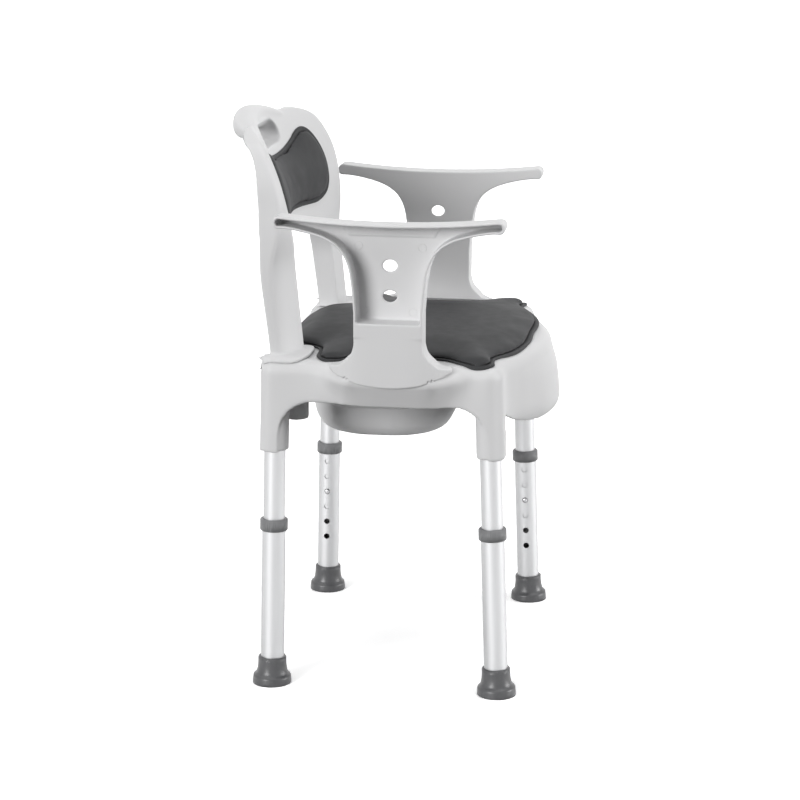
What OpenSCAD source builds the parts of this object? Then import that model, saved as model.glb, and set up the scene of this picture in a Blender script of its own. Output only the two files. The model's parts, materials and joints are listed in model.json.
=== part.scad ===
// Shower commode chair: moulded seat on four height-adjustable legs, lift-off
// armrests and backrest, soft pads and a pan that slides out at the rear.
// Millimetres. The front of the chair faces -Y, +X is the sitter's left, and the
// floor is z = 0. Heights along a leg are measured on the leaning leg itself.

/* [Stance] */
// Distance between the feet, side to side, on the floor
foot_span_x = 451.5; // [430:0.5:470]
// Distance between the feet, front to rear, on the floor
foot_span_y = 327.7; // [315:0.1:340]
// Inward lean of all legs towards the middle
side_lean = 0.64; // [0:0.02:1.2]
// Forward lean of the rear legs, going up
rear_lean = 1.06; // [0:0.02:2]
// Backward lean of the front legs, going up
front_lean = 2.1; // [1:0.02:3]

/* [Leg tubes] */
// Outside diameter of the upper tube
upper_tube_d = 31; // [29:0.5:33]
// Wall of the upper tube
upper_wall = 1.5; // [1:0.1:2]
// Wall of the lower tube
lower_wall = 1.2; // [0.8:0.1:1.8]
// Play between the two tubes, on the diameter
tube_play = 0.6; // [0.3:0.05:0.8]
// Height at which the upper tube ends, inside the lower tube
upper_tube_end = 128; // [122:1:132]
// Height of the top end of the lower tube
lower_tube_top = 242; // [236:1:250]
// Height of the lowest adjusting hole
first_hole_z = 92.4; // [88:0.1:96]
// Distance between adjusting holes
hole_pitch = 25; // [24:0.5:26]
// Number of adjusting holes
hole_count = 6; // [6:1:6]
// Hole that the snap pin stands in, counted from the lowest
pin_hole = 4; // [4:1:4]
// Diameter of the adjusting holes
hole_d = 7.8; // [7:0.1:8.4]

/* [Tube collars and feet] */
// Outside diameter of the collar on the lower tube
collar_d = 40; // [38:0.5:44]
// Height of the collar
collar_h = 17; // [14:0.5:20]
// Length of the collar that stands above the tube's end
collar_lip = 4.3; // [3:0.1:6]
// Diameter of the rubber foot on the floor
foot_d = 56; // [50:1:62]
// Diameter of the rubber foot's neck
foot_neck_d = 41; // [40:0.5:44]
// Height of the rubber foot
foot_h = 40; // [36:1:44]
// Height of the band round the bottom of the foot
foot_band_h = 13; // [10:0.5:15]
// Thickness of rubber under the tube
foot_sole = 8; // [6:0.5:10]

/* [Snap pins] */
// Distance that the pin stands out of the lower tube
pin_reach = 1.8; // [1.2:0.1:2.4]
// Thickness of the pin's shoulder, inside the upper tube
pin_shoulder = 1; // [0.8:0.1:1.4]
// Thickness of the spring leaf behind the pin
leaf_t = 0.8; // [0.6:0.1:1]
// Width of the spring leaf
leaf_w = 8; // [6:0.5:9]
// Length of the spring below the pin
leaf_l = 32; // [28:1:34]

/* [Seat shell] */
// Height of the seat's top face
seat_z = 480; // [474:1:486]
// Front of the rounded nose, ahead of the middle of the feet
nose_tip_y = -227; // [-232:0.5:-222]
// Height of the lower edge of the nose, in the middle
nose_z = 368; // [362:1:374]
// Rise of that edge towards the legs
nose_rise = 32; // [24:1:36]
// Half-width of the seat under the armrests
armrest_seat_x = 273; // [268:0.5:276]
// Radius of the edge round the top face
seat_edge_r = 20; // [14:1:22]
// Wall of the seat shell
seat_wall = 4; // [3:0.25:5]
// Height of the arch between the legs, at the sides
arch_z = 422; // [418:1:426]
// Height of the arch between the rear legs
rear_arch_z = 442; // [438:1:446]
// Outside diameter of the leg sockets
socket_d = 40; // [38:0.5:44]
// Thickness of the seat's skin outside the leg sockets
socket_skin = 0.5; // [0.3:0.1:1]
// Height of the seat's lowest edge, round the legs
socket_z = 346; // [340:1:352]
// Height of the leg sockets' ends above that
socket_recess = 2; // [1.5:0.25:3]
// Height of the blind end of the leg sockets' bores
socket_bore_top = 440; // [430:1:446]
// Height of the leg sockets' upper end
socket_top = 458; // [454:1:460]
// Half-width of the commode aperture
aperture_half_w = 95; // [85:1:100]
// Half-length of the commode aperture
aperture_half_l = 96; // [90:1:100]
// Middle of the aperture, front to rear
aperture_y = 24; // [20:1:28]

/* [Backrest] */
// Distance of the backrest's front face behind the middle, at the seat
back_foot_y = 154.4; // [150:0.2:158]
// Lean of the backrest
back_lean = 5.65; // [4:0.05:7]
// Height above the seat at which the face starts to bend back
bend_h = 150; // [140:1:160]
// Share by which the face leans further above that height
back_bend = 0.2; // [0.1:0.01:0.3]
// Extra distance that the top curls back
back_curl = 9; // [4:0.5:14]
// Radius of the backrest's curve, seen from above
back_curve_r = 480; // [420:10:600]
// Height of the backrest's front edge above the seat
back_h = 312; // [308:1:316]
// Wall of the backrest
back_wall = 4; // [3:0.25:5]
// Slope of the side faces, rearwards for each step outwards
side_slope = 0.55; // [0.4:0.05:0.8]
// Half-width of the gap between the uprights
gap_half_w = 149; // [140:1:156]
// Height of the top of that gap
gap_top_z = 631; // [620:1:640]
// Half-width of the hand slot
slot_half_w = 55; // [50:1:60]
// Lower edge of the hand slot in the front face
slot_front_low = 751; // [748:0.5:754]
// Upper edge of the hand slot in the front face
slot_front_high = 785; // [782:0.5:788]
// Lower edge of the hand slot at the rear
slot_rear_low = 757; // [754:0.5:760]
// Upper edge of the hand slot at the rear
slot_rear_high = 771; // [768:0.5:774]
// Depth of the grip bar above the hand slot
grip_depth = 36; // [32:1:42]
// Half-width of the grip bar
grip_half_w = 114; // [108:1:120]
// Height of the grip bar's top
grip_top_z = 808; // [804:1:812]
// Height of the grip bar's lower edge
grip_low_z = 770; // [764:1:772]
// Fall of the grip bar's top towards its ends
grip_fall = 22; // [16:1:26]
// Depth of the collar round the hand slot
slot_collar_depth = 31; // [24:1:32]
// Distance of the backrest's posts from the middle
post_x = 170; // [167:0.5:174]
// Distance of the posts behind the middle of the chair
post_y = 136; // [132:0.5:140]
// Diameter of the posts
post_d = 28; // [24:0.5:30]
// Height of the lower end of the posts
post_z = 392; // [388:1:400]
// Half-width of the foot plates on the seat
foot_plate_half_x = 46; // [44:0.5:50]
// Half-length of the foot plates
foot_plate_half_y = 36.5; // [34:0.5:38]
// Thickness of the foot plates on the seat
foot_plate_t = 5; // [4:0.25:6]
// Distance that the foot plates stand out of the seat's sides
foot_plate_lip = 1.75; // [1:0.25:2]

/* [Armrests] */
// Distance of the armrest's inner face from the middle
arm_in_x = 240; // [239:0.5:243]
// Width of the armrest
arm_w = 37; // [34:0.5:40]
// Middle of the armrest, front to rear
arm_mid_y = -13; // [-20:0.5:-8]
// Height of the top face at its middle
arm_top_z = 682; // [672:1:692]
// Rise of the top face towards its ends
arm_rise = 8.5; // [4:0.5:12]
// Half-length of the armrest's top
arm_half_l = 160; // [150:1:170]
// Radius of the armrest's ends
arm_tip_r = 8.5; // [7:0.25:10]
// Half-width of the armrest's neck
arm_neck = 48; // [44:1:52]
// Half-width of the armrest's foot
arm_foot = 86; // [80:1:90]
// Height of the armrest's apron at its lowest point
apron_z = 454; // [450:1:460]
// Height of the ledge above the apron
ledge_z = 545; // [535:1:555]
// Wall of the armrests
arm_wall = 3.5; // [2.5:0.25:4]
// Diameter of the two holes in the armrest
arm_hole_d = 20; // [16:0.5:22]
// Height of the lower hole
arm_hole_z = 578; // [572:1:584]
// Distance between the two holes
arm_hole_pitch = 43; // [38:1:48]
// Width of a tenon, front to rear
tenon_w = 24; // [20:1:28]
// Thickness of a tenon
tenon_t = 10; // [8:0.5:12]
// Height of the lower end of the tenons
tenon_z = 446; // [442:1:452]
// Distance of the tenons from the armrest's middle
tenon_y = 32; // [28:1:36]

/* [Pads] */
// Thickness of the seat pad at its middle
seat_pad_t = 15; // [12:0.5:18]
// Thickness of the rim round the pads
pad_rim_t = 3; // [2:0.25:4]
// Thickness of the back pad at its middle
back_pad_t = 13; // [10:0.5:16]
// Gap under the pads
pad_gap = 0.3; // [0.2:0.05:0.5]

/* [Pan] */
// Half-width of the pan's body under its rim
pan_half_w = 116; // [110:1:120]
// Half-length of the pan's body
pan_half_l = 112; // [106:1:114]
// Middle of the pan, front to rear
pan_y = 31; // [28:1:33]
// Height of the pan's lowest point
pan_z = 337; // [334:1:344]
// Height of the step round the pan
pan_step_z = 386; // [380:1:392]
// Height of the underside of the pan's rim
rim_z = 429; // [428:0.5:431]
// Thickness of the pan's rim
rim_t = 3; // [2.5:0.25:4]
// Width of the pan's rim on the rails
rim_w = 14; // [12:0.5:16]
// Wall of the pan
pan_wall = 2.5; // [2:0.25:3]
// Thickness of the pan rails
rail_t = 3.5; // [3:0.25:4]

/* [Fits] */
// Clearance between pieces that are joined, on the radius
fit_gap = 0.05; // [0.02:0.01:0.1]
// Clearance between pieces that slide or lift off
slide_gap = 0.3; // [0.2:0.05:0.5]
// Diameter of the screws
screw_d = 4; // [3.5:0.1:4.5]

/* [Hidden] */

// Which side and end a leg stands at
LEFT = 1;
RIGHT = -1;
REAR = 1;
FRONT = -1;

plastic = "#e3e3e4";
pad_grey = "#55565a";
tube_silver = "#cfd1d4";
collar_grey = "#8f9194";
rubber_grey = "#5f6164";
steel = "#b9bcc0";

lower_bore_d = upper_tube_d + tube_play;
lower_tube_d = lower_bore_d + 2 * lower_wall;
pin_z = first_hole_z + (pin_hole - 1) * hole_pitch;
pin_d = hole_d - 4 * fit_gap;
pin_tip = lower_tube_d / 2 + pin_reach;
collar_z = lower_tube_top + collar_lip - collar_h;
screw_z = socket_z + 20;
corner_r = socket_d / 2 + socket_skin;
slot_front = [slot_front_low, slot_front_high];
slot_rear = [slot_rear_low, slot_rear_high];
back_top_z = seat_z + back_h;
grip_rear_y = back_y(0, (grip_low_z + grip_top_z) / 2) + grip_depth;
// The chair's middle, front to rear, so that the origin is under the middle
mid_y = (grip_rear_y + nose_tip_y) / 2;

// Half-width of the backrest's front face at heights above the seat
front_half_w = [
    [-20, 179], [120, 179], [140, 182], [160, 190], [180, 198], [200, 204], [220, 208.5],
    [240, 210], [255, 207.5], [270, 203], [285, 196], [295, 189], [301, 179], [306, 164],
    [310, 144], [312, 128]
];
// Half-width over the backrest's side walls at the same heights
side_half_w = [
    [-20, 225], [120, 226], [180, 224], [220, 222], [240, 222], [255, 219.5], [270, 214],
    [285, 206], [295, 198], [301, 188], [306, 172], [310, 151], [312, 133]
];
// Rear edge of the side walls at heights above the seat
side_rear_y = [
    [-20, 161.5], [11, 162.5], [77, 171], [115, 176], [163, 177], [223, 179], [267, 183],
    [285, 190], [312, 216]
];
// Distance of the nose's face behind its tip, at heights above its lower edge
nose_fall = [[-4, 31], [0, 12.4], [10, 2.5], [20, 0], [44, 1.9], [68, 5], [92, 13], [113, 18.6]];

// A smooth closed curve through a loop of points
function blend4(a, b, c, d, t) =
    0.5 * (2 * b + (c - a) * t + (2 * a - 5 * b + 4 * c - d) * t * t
    + (3 * b - a - 3 * c + d) * t * t * t);
function smooth_loop(p, n) = let (m = len(p)) [
    for (i = [0 : m - 1], k = [0 : n - 1])
        blend4(p[(i + m - 1) % m], p[i], p[(i + 1) % m], p[(i + 2) % m], k / n)
];

function smooth_line(p, n) = let (m = len(p) - 1) concat(
    [for (i = [0 : m - 1], k = [0 : n - 1])
        blend4(p[max(0, i - 1)], p[i], p[i + 1], p[min(m, i + 2)], k / n)],
    [p[m]]
);

// A half outline from front to rear, mirrored into a whole loop
function both_sides(half) = concat(
    half,
    [for (i = [len(half) - 2 : -1 : 1]) [-half[i][0], half[i][1]]]
);

// A loop moved inwards by d, square to itself
function inset_loop(p, d) = let (m = len(p)) [
    for (i = [0 : m - 1])
        let (t = p[(i + 1) % m] - p[(i + m - 1) % m])
        p[i] + d * [-t[1], t[0]] / norm(t)
];
function at_height(p, z) = [for (q = p) [q[0], q[1], z]];
function between(p, q, t) = p + (q - p) * t;

// A closed solid through rings of equal length, lowest first
module skin(rings) {
    n = len(rings[0]);
    m = len(rings);
    polyhedron(
        points = [for (r = rings) each r],
        faces = concat(
            [[for (j = [0 : n - 1]) j]],
            [[for (j = [n - 1 : -1 : 0]) (m - 1) * n + j]],
            [for (i = [0 : m - 2], j = [0 : n - 1])
                [i * n + j, (i + 1) * n + j, (i + 1) * n + (j + 1) % n]],
            [for (i = [0 : m - 2], j = [0 : n - 1])
                [i * n + j, (i + 1) * n + (j + 1) % n, i * n + (j + 1) % n]]
        ),
        convexity = 8
    );
}

// Everything is drawn about the middle of the feet and set over the origin here
module over_origin() {
    translate([0, -mid_y, 0]) children();
}

// A leg's own frame: its foot at the floor, z up along the leg
module on_leg(side, end) {
    lean = end == REAR ? rear_lean : -front_lean;
    translate([side * foot_span_x / 2, end * foot_span_y / 2, 0])
        rotate([lean, -side * side_lean, 0])
            children();
}

// Towards the middle of the chair, across a leg
module inwards(side) {
    rotate([0, -side * 90, 0]) children();
}

module tube(outer_d, inner_d, bottom, top) {
    difference() {
        translate([0, 0, bottom]) cylinder(d = outer_d, h = top - bottom, $fn = 64);
        translate([0, 0, bottom - 1]) cylinder(d = inner_d, h = top - bottom + 2, $fn = 64);
    }
}

module upper_tube(side, end) {
    color(tube_silver) over_origin() on_leg(side, end) difference() {
        tube(upper_tube_d, upper_tube_d - 2 * upper_wall, upper_tube_end, socket_bore_top - 1);
        translate([0, 0, pin_z]) inwards(side) cylinder(d = hole_d, h = upper_tube_d, $fn = 32);
        translate([0, 0, screw_z]) inwards(side)
            cylinder(d = screw_d + 2 * fit_gap, h = upper_tube_d, $fn = 24);
    }
}

module lower_tube(side, end) {
    color(tube_silver) over_origin() on_leg(side, end) difference() {
        tube(lower_tube_d, lower_bore_d, foot_sole + fit_gap, lower_tube_top);
        for (i = [0 : hole_count - 1])
            translate([0, 0, first_hole_z + i * hole_pitch]) inwards(side)
                cylinder(d = hole_d, h = lower_tube_d, $fn = 32);
    }
}

module tube_collar(side, end) {
    edge = 0.8;
    tube_r = lower_tube_d / 2 + fit_gap;
    lip_r = upper_tube_d / 2 + fit_gap;
    color(collar_grey) over_origin() on_leg(side, end) translate([0, 0, collar_z])
        rotate_extrude($fn = 64) polygon([
            [tube_r, 0], [collar_d / 2 - edge, 0], [collar_d / 2, edge],
            [collar_d / 2, collar_h - 2 * edge], [collar_d / 2 - 2 * edge, collar_h],
            [lip_r, collar_h], [lip_r, collar_h - collar_lip + fit_gap],
            [tube_r, collar_h - collar_lip + fit_gap]
        ]);
}

// A rubber foot: a band on the floor, a hollow flare and a neck round the tube
module foot(side, end) {
    tube_r = lower_tube_d / 2 + fit_gap;
    base_r = foot_d / 2;
    neck_r = foot_neck_d / 2;
    neck_z = foot_h - 6;
    flare = [for (a = [0 : 15 : 90])
        [neck_r + (base_r - 3 - neck_r) * (1 - sin(a)),
         neck_z - (neck_z - foot_band_h - 1) * cos(a)]];
    color(rubber_grey) over_origin() difference() {
        on_leg(side, end) rotate_extrude($fn = 64) polygon(concat(
            [[0, -3], [base_r, -3], [base_r, 4], [base_r - 0.8, foot_band_h - 1.5],
             [base_r - 1.8, foot_band_h]],
            flare,
            [[neck_r, foot_h - 1.5], [neck_r - 1.5, foot_h], [tube_r, foot_h],
             [tube_r, foot_sole], [0, foot_sole]]
        ));
        translate([side * foot_span_x / 2, end * foot_span_y / 2, -10])
            cube([2 * foot_d, 2 * foot_d, 20], center = true);
    }
}

// The pin's own frame: its axis inwards, z from the middle of the leg
module at_pin(side, end) {
    over_origin() on_leg(side, end) translate([0, 0, pin_z]) inwards(side) children();
}

module snap_pin(side, end) {
    shoulder_top = upper_tube_d / 2 - upper_wall - 2 * fit_gap - 0.8;
    color(steel) at_pin(side, end) rotate_extrude($fn = 32) polygon(concat(
        [[0, shoulder_top - pin_shoulder], [pin_d / 2 + 1.2, shoulder_top - pin_shoulder],
         [pin_d / 2 + 1.2, shoulder_top], [pin_d / 2, shoulder_top]],
        [for (a = [0 : 18 : 72]) [pin_d / 2 * cos(a), pin_tip - pin_d / 4 * (1 - sin(a))]],
        [[0, pin_tip]]
    ));
}

// A leaf bent to a V: one arm carries the pin, the other bears on the tube's far wall
module pin_spring(side, end) {
    pin_side = upper_tube_d / 2 - upper_wall - 2 * fit_gap - 0.8 - pin_shoulder;
    far_side = upper_tube_d / 2 - upper_wall - 1.6;
    color(steel) over_origin() on_leg(side, end) translate([0, 0, pin_z]) rotate([90, 0, 0])
        linear_extrude(leaf_w, center = true) polygon([
            [-side * pin_side, 6], [-side * (pin_side - leaf_t), 6],
            [-side * (pin_side - leaf_t), -6], [side * 0.4, -leaf_l + 1.6],
            [side * (far_side - leaf_t), 8], [side * far_side, 8],
            [side * (leaf_t + 0.6), -leaf_l], [side * (-leaf_t - 0.4), -leaf_l],
            [-side * pin_side, -6]
        ]);
}

// The four legs' retaining screws, each through its socket into the upper tube
module leg_screws() {
    head_d = 2 * screw_d;
    color(steel) over_origin() for (side = [LEFT, RIGHT], end = [REAR, FRONT])
        on_leg(side, end) translate([0, 0, screw_z]) inwards(side) {
            translate([0, 0, upper_tube_d / 2 - upper_wall - 2])
                cylinder(d = screw_d, h = socket_d / 2 - upper_tube_d / 2 + upper_wall + 2, $fn = 24);
            translate([0, 0, socket_d / 2]) rotate_extrude($fn = 32) polygon([
                [0, 0], [head_d / 2, 0], [head_d / 2, 1], [head_d / 2 - 1, 2.2], [1.6, 2.4],
                [1.2, 1.2], [0, 1.2]
            ]);
        }
}

// Outer faces of the seat at the leaning legs, at each height
function seat_front(z) = -foot_span_y / 2 + z * tan(front_lean) - corner_r;
function seat_rear(z) = foot_span_y / 2 - z * tan(rear_lean) + corner_r;
function seat_side_x(z) = foot_span_x / 2 - z * tan(side_lean) + corner_r;

// Lower edge of the nose, at a distance from the middle
function nose_edge_z(x) = nose_z + nose_rise * pow(abs(x) / 190, 2.5);
function seat_nose(x, share, z) =
    [x, between(seat_front(z), nose_tip_y + lookup(z - nose_edge_z(x), nose_fall), share)];

// Share of the side's swelling under the armrest, at a distance from its middle
function swell(dy, z) =
    lookup(dy, [[0, 1], [38, 0.98], [62, lookup(z, [[arch_z, 0.72], [seat_z - 20, 0.97]])],
        [84, lookup(z, [[arch_z, 0.1], [seat_z - 20, 0.5]])], [108, 0]])
    * lookup(z, [[arch_z, 0.37], [seat_z - 24, 1]]);

function seat_side(dy, z) = [
    seat_side_x(z) + (armrest_seat_x - seat_side_x(z)) * swell(abs(dy), z), arm_mid_y + dy
];

// A quarter of a circle about a leg, from the angle a0, seen from above
function leg_corner(y, a0, z) = [for (a = [a0 : 30 : a0 + 90])
    [seat_side_x(z) - corner_r * (1 - sin(a)), y - corner_r * cos(a)]];

// Outline of the seat at a height: nose, corner, swollen side, rear corner
function seat_outline(z) = smooth_loop(both_sides(concat(
    [for (q = [[0, 1], [66, 0.84], [122, 0.47], [160, 0.2], [192, 0.03]]) seat_nose(q[0], q[1], z)],
    leg_corner(seat_front(z) + corner_r, 0, z),
    [for (dy = [-108, -84, -62, -38, 0, 38, 62, 84, 108]) seat_side(dy, z)],
    leg_corner(seat_rear(z) - corner_r, 90, z),
    [[110, seat_rear(z)], [0, seat_rear(z)]]
)), 2);

// The seat's outer form, grown outwards by g
module seat_form(g, low_z) {
    wall_top = seat_z - seat_edge_r;
    r = seat_edge_r + g;
    levels = [for (z = [nose_z, nose_z + 10, nose_z + 20, nose_z + 44, 436, wall_top])
        if (z > low_z) z];
    skin(concat(
        [for (share = [0.9, 1]) at_height(inset_loop(seat_outline(low_z), -g) * share, low_z)],
        [for (z = levels) at_height(inset_loop(seat_outline(z), -g), z)],
        [for (a = [22.5 : 22.5 : 90])
            at_height(inset_loop(seat_outline(wall_top), -g + r * (1 - cos(a))),
                wall_top + r * sin(a))]
    ));
}

// Outline of an arch cut between two legs, with rounded shoulders
function arch_outline(half_w, low_z, top_z, shoulder) = concat(
    [[-half_w, low_z]],
    [for (a = [0 : 15 : 90])
        [-half_w + shoulder * (1 - cos(a)), top_z - shoulder * (1 - sin(a))]],
    [for (a = [90 : -15 : 0])
        [half_w - shoulder * (1 - cos(a)), top_z - shoulder * (1 - sin(a))]],
    [[half_w, low_z]]
);

// Everything under the lower edge of the nose, between the front sockets
module under_nose() {
    edge_x = foot_span_x / 2 - nose_z * tan(side_lean) - socket_d / 2;
    translate([0, -100, 0]) rotate([90, 0, 0]) linear_extrude(200) polygon(concat(
        [[-edge_x, socket_z - 20]],
        [for (k = [-12 : 12]) [edge_x * k / 12, nose_edge_z(min(190, edge_x * abs(k) / 12))]],
        [[edge_x, socket_z - 20]]
    ));
}

module commode_aperture(grow, low_z, high_z) {
    translate([0, aperture_y, low_z]) linear_extrude(high_z - low_z) polygon([
        for (a = [0 : 6 : 354])
            [(aperture_half_w + grow) * cos(a) * (1 + 0.08 * sin(a)),
             (aperture_half_l + grow) * sin(a)]
    ]);
}

module tenon_slot(side, dy, gap, low_z, high_z) {
    middle_x = arm_in_x + arm_w / 2 - 5;
    translate([side * middle_x, arm_mid_y + dy, (low_z + high_z) / 2])
        cube([tenon_t + 2 * gap, tenon_w + 2 * gap, high_z - low_z], center = true);
}

module seat_shell() {
    side_half = (foot_span_y - socket_d) / 2 + 5;
    color(plastic) over_origin() difference() {
        union() {
            difference() {
                seat_form(0, socket_z);
                seat_form(-seat_wall, socket_z - 10);
                // Arch between the legs on each side
                translate([-400, 0, 0]) rotate([90, 0, 90]) linear_extrude(800)
                    polygon(arch_outline(side_half, socket_z - 20, arch_z, 52));
                // Arch between the rear legs, over the pan's way out
                translate([0, 300, 0]) rotate([90, 0, 0]) linear_extrude(200)
                    polygon(arch_outline(foot_span_x / 2 - socket_d / 2 - 2,
                        socket_z - 20, rear_arch_z, 46));
                under_nose();
            }
            // Leg sockets
            for (side = [LEFT, RIGHT], end = [REAR, FRONT]) on_leg(side, end)
                translate([0, 0, socket_z + socket_recess])
                    cylinder(d = socket_d, h = socket_top - socket_z - socket_recess, $fn = 64);
            // Sockets of the backrest's posts
            for (side = [LEFT, RIGHT]) translate([side * post_x, post_y, post_z - 10])
                cylinder(d = post_d + 2 * seat_wall, h = seat_z - seat_wall - post_z + 11, $fn = 64);
            // Pockets of the armrests' tenons
            for (side = [LEFT, RIGHT], dy = [-tenon_y, tenon_y])
                tenon_slot(side, dy, slide_gap + 3, tenon_z - 4, seat_z - seat_wall + 1);
            // Rim round the aperture
            difference() {
                commode_aperture(seat_wall, seat_z - 16, seat_z - 1);
                commode_aperture(0, seat_z - 17, seat_z);
            }
        }
        commode_aperture(0, seat_z - 40, seat_z + 10);
        rail_screw_holes();
        for (side = [LEFT, RIGHT], end = [REAR, FRONT]) on_leg(side, end) {
            translate([0, 0, socket_z - 5])
                cylinder(d = upper_tube_d + 2 * fit_gap, h = socket_bore_top - socket_z + 5,
                    $fn = 64);
            translate([0, 0, screw_z]) inwards(side)
                cylinder(d = screw_d + 2 * fit_gap, h = socket_d, $fn = 24);
        }
        for (side = [LEFT, RIGHT]) {
            translate([side * post_x, post_y, post_z - slide_gap])
                cylinder(d = post_d + 2 * slide_gap, h = 200, $fn = 64);
            for (dy = [-tenon_y, tenon_y])
                tenon_slot(side, dy, slide_gap, tenon_z - slide_gap, seat_z + 10);
        }
    }
}

// Front face of the backrest
function back_y(x, z) = let (h = max(0, z - seat_z - bend_h))
    back_foot_y + (z - seat_z) * tan(back_lean) + back_bend * h * h / (h + 30)
    + back_curl * pow(h / (back_h - bend_h), 8) - x * x / (2 * back_curve_r);

// A soft bend from a to c, pulled towards b
function bend(a, b, c) = [for (t = [0 : 0.25 : 1])
    between(between(a, b, t), between(b, c, t), t)];

// A value from a table of heights, its corners rounded off
function soft_lookup(h, table) = let (w = min(16, max(0, back_h - h) * 0.4))
    (lookup(h - w, table) + 2 * lookup(h, table) + lookup(h + w, table)) / 4;

// Outline of the backrest at a height: front face, sloping side, rear; open moves the rear back
function back_section(z, open) =
    let (
        h = z - seat_z,
        edge = soft_lookup(h, front_half_w),
        side = soft_lookup(h, side_half_w),
        near = [edge - 7, back_y(edge - 7, z)],
        front = [edge, back_y(edge, z)],
        outer = [side, front[1] + (side - edge) * side_slope],
        reach = min(0.5, 7 / norm(outer - front)),
        rear = max(soft_lookup(h, side_rear_y), outer[1] + 6) + open
    )
    both_sides(concat(
        [for (k = [0 : 7]) [near[0] * k / 8, back_y(near[0] * k / 8, z)]],
        bend(near, front, between(front, outer, reach)),
        bend(between(outer, front, reach * 0.8), outer, outer + [0, 5]),
        [for (k = [0 : 6]) let (x = side * (1 - k / 6)) [x, max(rear, back_y(x, z) + 2 * back_wall)]]
    ));

module back_form(w, open) {
    heights = [-20, 60, 108, 124, 138, 152, 166, 180, 195, 210, 225, 240, 255, 270, 283, 293,
        300, 305, 309, back_h];
    skin([for (h = heights)
        at_height(inset_loop(back_section(seat_z + h, open), w),
            seat_z + h - w * max(0, h - 220) / (back_h - 220))]);
}

module upright_gap(margin) {
    translate([0, 400, 0]) rotate([90, 0, 0]) linear_extrude(400)
        polygon(arch_outline(gap_half_w + margin, 400, gap_top_z + margin, 70 + margin));
}

// A slice across the grip bar at a share s of its half-width, its top falling with s
module grip_slice(s) {
    x = grip_half_w * s;
    end = 1 - 0.6 * pow(abs(s), 12);
    top = grip_top_z - grip_fall * s * s;
    mid_z = (grip_low_z + top) / 2;
    half_h = (top - grip_low_z) / 2 * end;
    far = grip_depth - (grip_depth - 16) * pow(s, 4);
    translate([x, back_y(x, mid_z) + far / 2, mid_z]) rotate([90, 0, 90])
        linear_extrude(1, center = true) polygon([for (a = [0 : 18 : 342])
            [far / 2 * end * sign(cos(a)) * pow(abs(cos(a)), 0.7),
             half_h * sign(sin(a)) * pow(abs(sin(a)), 0.7)]]);
}

// The grip: a bar along the backrest's curve
module grip_bar() {
    for (k = [-8 : 7]) hull() {
        grip_slice(k / 8);
        grip_slice((k + 1) / 8);
    }
}

// A loop with round ends, as width and height
function stadium(half_w, low, high) =
    let (r = (high - low) / 2, mid = (high + low) / 2, l = half_w - r)
    [for (q = [[1, -90], [-1, 90]], a = [0 : 18 : 180])
        [q[0] * l + r * cos(q[1] + a), mid + r * sin(q[1] + a)]];

// The hand slot's opening, from the rear to the front face
module hand_slot(margin) {
    y0 = back_y(0, slot_front[0]);
    skin([for (q = [[70, slot_rear], [32, slot_rear], [16, slot_front], [-20, slot_front]])
        [for (p = stadium(slot_half_w + margin, q[1][0] - margin, q[1][1] + margin))
            [p[0], y0 + q[0], p[1]]]
    ]);
}

// A layer of the backrest's curve between two depths behind the front face
module back_layer(half_w, near, far, low_z, high_z) {
    skin([for (k = [0 : 6])
        let (z = between(low_z, high_z, k / 6))
        concat(
            [for (i = [-6 : 6]) [half_w * i / 6, back_y(half_w * i / 6, z) + near, z]],
            [for (i = [6 : -1 : -6]) [half_w * i / 6, back_y(half_w * i / 6, z) + far, z]]
        )
    ]);
}

module foot_plate(side) {
    low_z = seat_z - 19;
    intersection() {
        translate([side * 190, 145, low_z]) linear_extrude(40) polygon([
            for (a = [0 : 10 : 350])
                [foot_plate_half_x * sign(cos(a)) * pow(abs(cos(a)), 0.6),
                 foot_plate_half_y * sign(sin(a)) * pow(abs(sin(a)), 0.6)]
        ]);
        translate([0, 0, foot_plate_t - foot_plate_lip]) seat_form(foot_plate_lip, 440);
    }
}

module backrest() {
    color(plastic) over_origin() {
        difference() {
            union() {
                difference() {
                    back_form(0, 0);
                    difference() {
                        back_form(back_wall, 120);
                        upright_gap(back_wall);
                    }
                }
                intersection() {
                    back_layer(slot_half_w + 8, 2, slot_collar_depth, 735, 795);
                    hand_slot(back_wall);
                }
                grip_bar();
                for (side = [LEFT, RIGHT]) foot_plate(side);
            }
            upright_gap(0);
            hand_slot(0);
            seat_form(pad_gap, 440);
        }
        for (side = [LEFT, RIGHT]) translate([side * post_x, post_y, post_z])
            cylinder(d = post_d, h = seat_z + foot_plate_t - post_z, $fn = 64);
    }
}

// Half of the armrest's outline: its distance from the middle, and its height
function arm_half_outline(w) = concat(
    [for (k = [0 : 6])
        [(arm_half_l - arm_tip_r) * k / 6, arm_top_z + arm_rise * pow(k / 6, 2) - w]],
    [for (a = [72 : -18 : -72])
        [arm_half_l - arm_tip_r + (arm_tip_r - w) * pow(cos(a), 0.8),
         arm_top_z + arm_rise - arm_tip_r
            + (arm_tip_r - w) * sign(sin(a)) * pow(abs(sin(a)), 0.8)]],
    smooth_line([
        [arm_half_l - 16, arm_top_z - 8.2 + w], [arm_neck + 80, arm_top_z - 10.5 + w],
        [arm_neck + 60, arm_top_z - 15 + w * 0.95], [arm_neck + 42 - w * 0.3, arm_top_z - 21 + w],
        [arm_neck + 27 - w * 0.5, arm_top_z - 29.5 + w * 0.8],
        [arm_neck + 15 - w * 0.8, arm_top_z - 42 + w * 0.5],
        [arm_neck + 7 - w, arm_top_z - 61 + w * 0.2], [arm_neck + 2.5 - w, arm_top_z - 90],
        [arm_neck - w, arm_top_z - 122]
    ], 3)
);
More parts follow.
